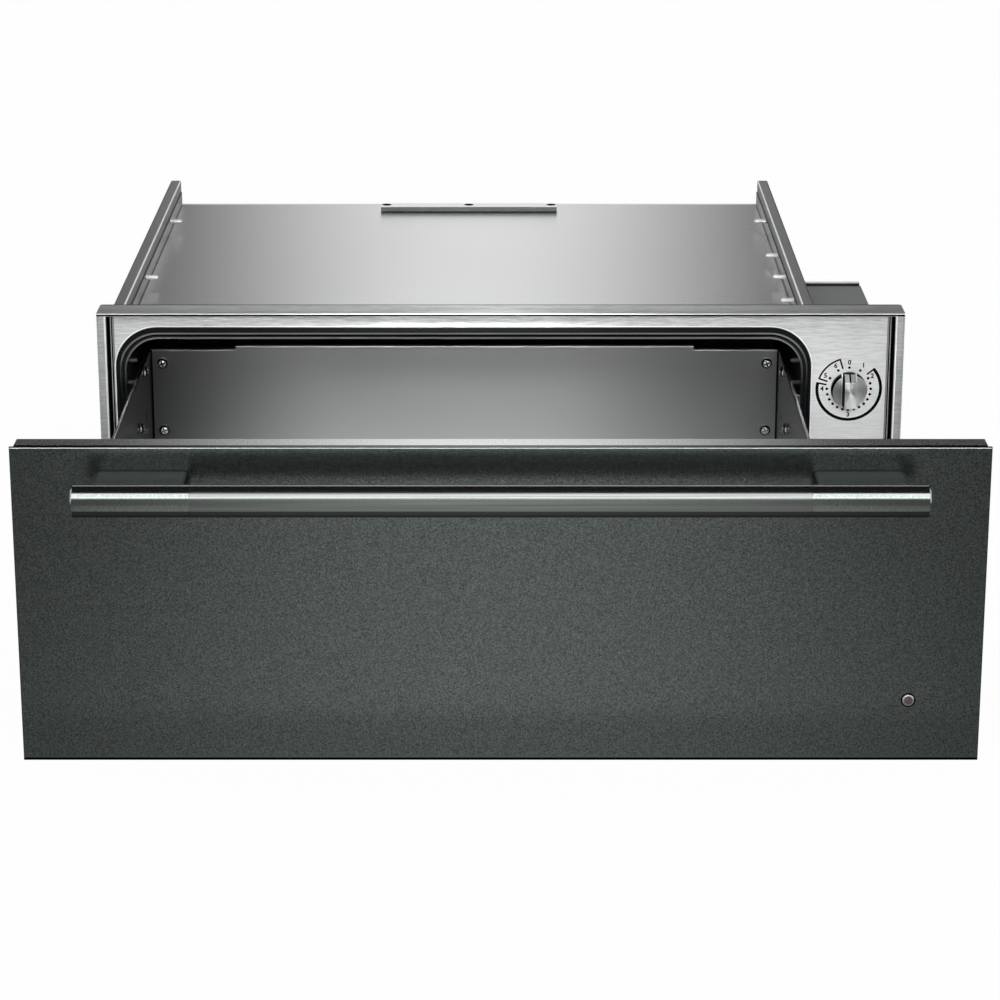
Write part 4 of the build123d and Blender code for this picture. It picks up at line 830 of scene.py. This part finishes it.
# %% Floor
WHITE_SHARE = 0.96
WHITE_LEVEL = 1.01
floor_level = cad_low.z
bpy.ops.mesh.primitive_plane_add(size=8.0, location=(0.0, 0.4, floor_level))
floor = bpy.context.object
floor.name = "paper_floor"
paper = start_material("paper_sweep")[0]
lit_paper = add_node(paper, "BsdfDiffuse", Color=linear("#E4E4E4"))
white_paper = add_node(paper, "Emission", Color=(1.0, 1.0, 1.0, 1.0), Strength=WHITE_LEVEL)
in_view = add_node(paper, "LightPath").outputs["Is Camera Ray"]
share = add_node(paper, "Math", {"operation": "MULTIPLY"}, i0=in_view, i1=WHITE_SHARE)
paper_mix = add_node(paper, "MixShader", i0=share.outputs[0], i1=lit_paper.outputs[0], i2=white_paper.outputs[0])
close_material(paper, paper_mix)
floor.data.materials.append(paper)
print("floor at", round(floor_level / MM, 1), "mm")

# %% [markdown]
# ## Lamps
#
# The key light is a wide softbox above and in front. It shows as the one bright band along the bar.
# Two small strips over the open drawer light the plate and the drawer's inside, which the front
# would otherwise keep in its shade.

# %% Lamps
def softbox(name, place, aim, width, depth, radiance, grid=180.0):
    """A rectangular soft light, aimed at a point. Radiance 1 is white. A grid narrows its beam, in degrees."""
    data = bpy.data.lights.new(name, "AREA")
    data.shape = "RECTANGLE"
    data.size, data.size_y = width, depth
    data.energy = radiance * math.pi * width * depth
    lamp = bpy.data.objects.new(name, data)
    scene.collection.objects.link(lamp)
    lamp.location = place
    lamp.rotation_euler = (Vector(aim) - Vector(place)).to_track_quat("-Z", "Y").to_euler()
    data.spread = math.radians(grid)
    lamp.visible_camera = False
    return lamp


softbox("key_softbox", (0.0, -1.25, 1.165), (0.0, -0.45, 0.15), 1.5, 0.85, 1.15)
softbox("plate_strip", (0.0, -0.74, 0.47), (0.0, 0.0, 0.27), 1.0, 0.07, 2.95, 58.0)
softbox("inside_strip", (-0.03, -0.16, 0.36), (-0.03, 0.09, 0.12), 0.20, 0.06, 11.0, 90.0)
print("lamps:", len(bpy.data.lights))

# %% [markdown]
# ## Cards for the metal to mirror
#
# Polished metal has no look of its own, only that of the room. Photographers stand grey and black
# cards round it, out of the picture, so that its bands have edges. The cards here are seen by
# reflections alone. The front card is brighter in its middle, so the drawer front glows there.

# %% Cards
def card(name, low, high, centre_grey, side_grey, glow_width=0.7, centre=0.0):
    """A flat card between two corners, brighter at its centre than at its sides."""
    low, high = Vector(low), Vector(high)
    size = high - low
    upright = size.z > size.y
    bpy.ops.mesh.primitive_plane_add(
        size=1.0, location=(low + high) / 2, rotation=(math.radians(90.0) if upright else 0.0, 0.0, 0.0)
    )
    sheet = bpy.context.object
    sheet.scale = (size.x, size.z if upright else size.y, 1.0)
    bpy.ops.object.transform_apply()
    sheet.name = name
    surface, place = start_material(name + "_board")
    parts = add_node(surface, "SeparateXYZ", Vector=place)
    across = add_node(surface, "Math", {"operation": "SUBTRACT"}, i0=parts.outputs["X"], i1=centre)
    offset = add_node(surface, "Math", {"operation": "ABSOLUTE"}, i0=across.outputs[0])
    level = add_node(
        surface, "MapRange", {"interpolation_type": "SMOOTHSTEP"}, Value=offset.outputs[0],
        From_Min=0.0, From_Max=glow_width, To_Min=centre_grey, To_Max=side_grey,
    )
    light = add_node(surface, "Emission", Color=(1.0, 1.0, 1.0, 1.0), Strength=level.outputs[0])
    close_material(surface, light)
    sheet.data.materials.append(surface)
    sheet.visible_camera = sheet.visible_diffuse = sheet.visible_shadow = False
    sheet.visible_transmission = False
    bpy.ops.object.select_all(action="DESELECT")
    return sheet


SIDE, FAR, NEAR, NEXT = 1.8, -2.6, -0.52, -0.30
lying = floor_level + 0.001
card("front_card_low", (-SIDE, FAR, lying), (SIDE, NEAR, lying), 0.48, 0.10, 0.6)
card("front_card_tall", (-SIDE, FAR, floor_level), (SIDE, FAR, 1.80), 0.66, 0.10, 0.6)
card("under_card", (-SIDE, NEAR, lying), (SIDE, NEXT, lying), 0.34, 0.10, 0.6)
card("top_card", (-1.6, -0.86, 1.45), (1.6, 1.4, 1.45), 0.02, 0.02)
card("back_card", (-2.4, 2.2, floor_level), (2.4, 2.2, 1.45), 1.10, 0.0, 0.66, -0.04)

# %% [markdown]
# ## Copies of one model
#
# Dots and screws repeat. One of each is modelled and copied to all its places, and the copies
# become one piece with a name and a finish.

# %% Copy, join and dress
def select_only(*pieces):
    """Selects these pieces alone and makes the first one active."""
    bpy.ops.object.select_all(action="DESELECT")
    for piece in pieces:
        piece.select_set(True)
    bpy.context.view_layer.objects.active = pieces[0]


def join_copies(plan):
    """Copies models to their places, joins them and drops the models. A row is model, place, degrees."""
    copies = []
    for model, place, turn in plan:
        copy = model.copy()
        copy.data = model.data.copy()
        scene.collection.objects.link(copy)
        copy.location = place
        copy.rotation_euler = [math.radians(angle) for angle in turn]
        copies.append(copy)
    for model in {row[0] for row in plan}:
        bpy.data.objects.remove(model)
    select_only(*copies)
    bpy.ops.object.join()
    return bpy.context.object


def dress(piece, name, finish):
    """Applies a piece's place, turn and scale, and gives it its name and its only finish."""
    select_only(piece)
    bpy.ops.object.transform_apply(location=True, rotation=True, scale=True)
    piece.name = piece.data.name = name
    piece.data.materials.clear()
    piece.data.materials.append(finish)
    bpy.ops.object.select_all(action="DESELECT")
    return piece


# %% [markdown]
# ## The printed scale round the knob
#
# The scale is screen printed in black on the brushed plate: a dot for each step, two arcs that
# bracket the ranges, and a mark at each arc's ends. The ink is a hair thick, so each shape stands
# 0.05 mm proud of the steel. The real words beside the marks are plain numbers here.

# %% Tools for flat ink
INK = 0.05
dial_middle = Vector((dial_x, plate_face_y - INK * MM, dial_z))
half_ink = Vector((0.0, INK / 2 * MM, 0.0))


def on_dial(angle, radius):
    """A point of the dial, from degrees clockwise from the top and a radius in mm."""
    a = math.radians(angle)
    return dial_middle + Vector((math.sin(a) * radius * MM, 0.0, math.cos(a) * radius * MM))


def finish_ink(piece, name):
    """Names a printed shape, gives it the ink and fixes it to the plate."""
    dress(piece, name, ink_finish)
    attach(piece, "chassis")
    return piece


# %% [markdown]
# ### Dots
#
# A dot is a low disc. One is made with a cylinder whose rim is beveled in edit mode, then copied to
# each step of the scale.

# %% Dots
DOT_RADIUS = 1.25
DOT_RING = 19.9
dot_angles = [0, 30] + list(range(60, 271, 15)) + [-60, -30]
bpy.ops.mesh.primitive_cylinder_add(
    vertices=20, radius=DOT_RADIUS * MM, depth=2 * INK * MM,
    location=(0.0, 0.0, 0.0), rotation=(math.radians(90.0), 0.0, 0.0),
)
first_dot = bpy.context.object
bpy.ops.object.mode_set(mode="EDIT")
bpy.ops.mesh.select_all(action="DESELECT")
bpy.ops.mesh.select_mode(type="EDGE")
ring = bmesh.from_edit_mesh(first_dot.data)
for edge in ring.edges:
    edge.select = all(abs(v.co.z - INK * MM) < 1e-7 for v in edge.verts)
bmesh.update_edit_mesh(first_dot.data)
bpy.ops.mesh.bevel(offset=0.03 * MM, segments=1)
bpy.ops.object.mode_set(mode="OBJECT")
dots = join_copies([(first_dot, on_dial(angle, DOT_RING), (90.0, 0.0, 0.0)) for angle in dot_angles])
finish_ink(dots, "dial_dots")
print("dots:", len(dot_angles), "faces:", len(dots.data.polygons))

# %% [markdown]
# ### Arcs
#
# An arc is its cross-section, a flat rectangle made from a plane, spun in edit mode about the
# dial's centre. The wide arc is the warming range and the thin one the slow range.

# %% Arcs
def ink_arc(name, start, end, inner, outer):
    """A band of ink between two angles and two radii: its cross-section spun about the dial."""
    across_band = (on_dial(start, inner) + on_dial(start, outer)) / 2 + half_ink
    bpy.ops.mesh.primitive_plane_add(
        size=1.0, location=across_band, rotation=(0.0, math.radians(start - 90.0), 0.0)
    )
    band = bpy.context.object
    band.scale = ((outer - inner) * MM, INK * MM, 1.0)
    bpy.ops.object.transform_apply()
    bpy.ops.object.mode_set(mode="EDIT")
    bpy.ops.mesh.select_all(action="SELECT")
    bpy.ops.mesh.spin(
        steps=max(6, int((end - start) / 3)), angle=-math.radians(end - start),
        center=dial_middle, axis=(0.0, 1.0, 0.0),
    )
    bpy.ops.mesh.select_all(action="DESELECT")
    bpy.ops.mesh.select_non_manifold()
    bpy.ops.mesh.fill_holes(sides=4)
    bpy.ops.mesh.select_all(action="SELECT")
    bpy.ops.mesh.normals_make_consistent(inside=False)
    bpy.ops.object.mode_set(mode="OBJECT")
    reach = [math.degrees(math.atan2(v.co.x - dial_x, v.co.z - dial_z)) % 360 for v in band.data.vertices]
    print(name, "spans", round(min(reach)), "to", round(max(reach)), "degrees,", len(band.data.polygons), "faces")
    return finish_ink(band, name)


WIDE_ARC = (27.4, 30.2)
THIN_ARC = (27.9, 29.5)
ink_arc("dial_arc_warm", 50.0, 281.0, *WIDE_ARC)
ink_arc("dial_arc_slow", -70.5, -17.3, *THIN_ARC)

# %% [markdown]
# ### End marks
#
# Each arc is closed by a short straight mark that points at the knob. A mark is a thin box, laid
# along the radius at the arc's end.

# %% End marks
def ink_mark(name, angle, inner, outer, width):
    """A straight mark along a radius."""
    middle = (on_dial(angle, inner) + on_dial(angle, outer)) / 2
    bpy.ops.mesh.primitive_cube_add(
        size=1.0, location=middle + half_ink, rotation=(0.0, math.radians(angle), 0.0)
    )
    mark = bpy.context.object
    mark.scale = (width * MM, INK * MM, (outer - inner) * MM)
    bpy.ops.object.transform_apply()
    bpy.ops.object.mode_set(mode="EDIT")
    bpy.ops.mesh.select_all(action="SELECT")
    bpy.ops.mesh.bevel(offset=0.015 * MM, segments=1)
    bpy.ops.object.mode_set(mode="OBJECT")
    return finish_ink(mark, name)


MARK_WIDTH = 1.5
mark_ends = [(50.0, 21.0, 30.0), (281.0, 20.6, 30.0), (-70.5, 20.6, 29.4), (-17.3, 19.6, 29.4)]
for number, (angle, inner, outer) in enumerate(mark_ends):
    ink_mark(f"dial_mark_{number}", angle, inner, outer, MARK_WIDTH)
print("marks:", len(mark_ends))

# %% [markdown]
# ### Numbers
#
# Text objects become meshes before they are placed. Each number sits outside its dot, upright as on
# the real dial, and is thickened by a small extrusion.

# %% Numbers
def ink_number(text, angle, radius, height):
    """An upright number centred on a point of the dial."""
    curve = bpy.data.curves.new(f"number_{text}", "FONT")
    curve.body = text
    curve.size = height * MM * 1.4
    curve.align_x, curve.align_y = "CENTER", "CENTER"
    curve.extrude = INK / 2 * MM
    curve.offset = 0.2 * MM
    curve.resolution_u = 3
    letter = bpy.data.objects.new(f"number_{text}", curve)
    scene.collection.objects.link(letter)
    select_only(letter)
    bpy.ops.object.convert(target="MESH")
    letter = bpy.context.object
    letter.location = on_dial(angle, radius) + half_ink
    letter.rotation_euler = (math.radians(90.0), 0.0, 0.0)
    return finish_ink(letter, f"dial_number_{text}")


NUMBER_HEIGHT = 4.2
numbers = [
    ("0", 0.0, 24.6), ("1", 30.0, 25.4), ("2", 60.0, 24.2), ("3", 180.0, 24.2),
    ("4", 270.0, 24.2), ("5", -60.0, 24.6), ("6", -30.0, 24.8),
]
for text, angle, radius in numbers:
    ink_number(text, angle, radius, NUMBER_HEIGHT)
print("numbers:", len(numbers))

# %% [markdown]
# ## Screw heads of the drawer box
#
# The photograph shows bright domed heads with a cross recess. The CAD screws are plain, so one head
# is modelled here: a ball is cut in half, flattened to a dome, and a cross is cut into it.

# %% One domed head with a cross recess
HEAD_RADIUS = 5.0
HEAD_HEIGHT = 3.0
CROSS = (6.4, 1.7, 3.2)
CROSS_TURN = 20.0
bpy.ops.mesh.primitive_uv_sphere_add(segments=32, ring_count=16, radius=HEAD_RADIUS * MM, location=(0.0, 0.0, 0.0))
head = bpy.context.object
bpy.ops.object.mode_set(mode="EDIT")
bpy.ops.mesh.select_all(action="SELECT")
bpy.ops.mesh.bisect(plane_co=(0.0, 0.0, 0.0), plane_no=(0.0, 0.0, 1.0), use_fill=True, clear_inner=True)
bpy.ops.mesh.select_all(action="SELECT")
bpy.ops.transform.resize(value=(1.0, 1.0, HEAD_HEIGHT / HEAD_RADIUS))
bpy.ops.mesh.normals_make_consistent(inside=False)
bpy.ops.object.mode_set(mode="OBJECT")
for turn in (0.0, 90.0):
    bpy.ops.mesh.primitive_cube_add(
        size=1.0, location=(0.0, 0.0, HEAD_HEIGHT * MM),
        rotation=(0.0, 0.0, math.radians(turn + CROSS_TURN)), scale=[side * MM for side in CROSS],
    )
    cutter = bpy.context.object
    cut = head.modifiers.new("cross", "BOOLEAN")
    cut.operation, cut.object, cut.solver = "DIFFERENCE", cutter, "EXACT"
    select_only(head)
    bpy.ops.object.modifier_apply(modifier="cross")
    bpy.data.objects.remove(cutter)
soften = head.modifiers.new("edge", "BEVEL")
soften.width, soften.segments, soften.limit_method = 0.18 * MM, 2, "ANGLE"
bpy.ops.object.modifier_apply(modifier="edge")
bpy.ops.object.shade_smooth_by_angle(angle=math.radians(40.0))
print("faces in one head:", len(head.data.polygons))

# %% [markdown]
# ### Twelve places
#
# Eight heads sit on the plain CAD screws, in two columns on the back wall and on the front's liner.
# Four more stand where the photograph shows heads on the side walls. Places are in metres.

# %% Place the heads
LINER_SEAT = -0.3811
BACK_HEIGHTS, LINER_HEIGHTS = (0.1551, 0.0904), (0.1420, 0.0620)
SIDE_WALLS = ((-0.3240, 90.0), (0.2570, -90.0))
SIDE_HEADS = ((-0.017, 0.123), (0.028, 0.1632))
screw_low, screw_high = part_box("drawer_screws")
columns = (screw_low.x + HEAD_RADIUS * MM, screw_high.x - HEAD_RADIUS * MM)
places = []
for seat, heights in ((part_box("drawer_back")[0].y, BACK_HEIGHTS), (LINER_SEAT, LINER_HEIGHTS)):
    for column in columns:
        places += [(head, (column, seat, height), (90.0, 0.0, 0.0)) for height in heights]
for wall, turn in SIDE_WALLS:
    places += [(head, (wall, depth, height), (90.0, 0.0, turn)) for depth, height in SIDE_HEADS]
screws = dress(join_copies(places), "drawer_screw_heads", head_finish)
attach(screws, "drawer")
print("heads placed:", len(places))

# %% [markdown]
# ## The wall screws
#
# Sheet metal screws hold the two skins of each side wall together, and their ends stand out above the
# cover. A real one has a thread rolled on the shank, a rounded point and an upset pan head. Here a
# short cylinder is drawn out from its two end faces. Each step is an extrude that then shrinks or
# widens the ring, so the thread is a row of fine ridges.

# %% One wall screw
SHANK, CREST, PITCH = 2.1, 2.25, 1.0
STUB = 1.0
PAN_HEAD = 4.0


def draw_out(lengths, widths):
    """Extrudes the chosen end face along X, step by step in mm, and scales it to each width."""
    for step, width in zip(lengths, widths):
        bpy.ops.mesh.extrude_region_move(TRANSFORM_OT_translate={"value": (step * MM, 0.0, 0.0)})
        bpy.ops.transform.resize(value=(1.0, width, width))


def pick_end(piece, sign):
    """Selects the flat face at one end of the bar."""
    bpy.ops.mesh.select_mode(type="FACE")
    bpy.ops.mesh.select_all(action="DESELECT")
    shape = bmesh.from_edit_mesh(piece.data)
    end = max(shape.faces, key=lambda face: sign * face.calc_center_median().x)
    end.select = True
    shape.faces.active = end
    bmesh.update_edit_mesh(piece.data)


def wall_screw(reach):
    """One screw whose head rests at x = 0 and whose point is at x = reach, in mm."""
    bpy.ops.mesh.primitive_cylinder_add(
        vertices=20, radius=SHANK * MM, depth=STUB * MM,
        location=(STUB / 2 * MM, 0.0, 0.0), rotation=(0.0, math.radians(90.0), 0.0),
    )
    piece = bpy.context.object
    bpy.ops.object.transform_apply()
    bpy.ops.object.mode_set(mode="EDIT")
    pick_end(piece, 1.0)
    ridges = int((reach - 3.0) / PITCH)
    for _ in range(ridges):
        draw_out((0.3, 0.3, 0.4), (CREST / SHANK, SHANK / CREST, 1.0))
    rest = reach - STUB - ridges * PITCH
    draw_out((rest * 0.4, rest * 0.4, rest * 0.2), (0.94, 0.7, 0.45))
    pick_end(piece, -1.0)
    draw_out((0.0, -1.4, -0.7, -0.3), (PAN_HEAD / SHANK, 1.0, 0.8, 0.7))
    draw_out((0.0, 1.2), (0.72, 0.7))
    bpy.ops.mesh.select_all(action="SELECT")
    bpy.ops.mesh.normals_make_consistent(inside=False)
    bpy.ops.object.mode_set(mode="OBJECT")
    bpy.ops.object.shade_smooth_by_angle(angle=math.radians(35.0))
    return piece


# %% [markdown]
# ### Along the walls
#
# The longer screws stand in a row above the cover and the shorter ones inside the mouth. All reach
# inwards, so those of the right wall are turned round. Their places are in metres.

# %% Place the wall screws
COVER_ROW, MOUTH_ROWS = 0.2098, (0.1714, 0.1508)
LEFT_ROW, RIGHT_ROW = (0.197, 0.436), (0.108, 0.198, 0.286, 0.436)
IN_MOUTH = 0.038
wall_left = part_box("side_skin_left")[0].x
wall_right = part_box("side_skin_right")[1].x
wall = (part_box("side_liner_left")[1].x - wall_left) / MM
long_screw, short_screw = wall_screw(wall + 13.0), wall_screw(wall + 9.5)
rows = []
for side, turn, depths in ((wall_left, 0.0, LEFT_ROW), (wall_right, 180.0, RIGHT_ROW)):
    rows += [(long_screw, (side, depth, COVER_ROW), (0.0, 0.0, turn)) for depth in depths]
    rows += [(short_screw, (side, IN_MOUTH, height), (0.0, 0.0, turn)) for height in MOUTH_ROWS]
wall_screws = dress(join_copies(rows), "wall_screws", screw_finish)
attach(wall_screws, "chassis")
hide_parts("panel_screws")
print("wall screws:", len(rows), "faces:", len(wall_screws.data.polygons))
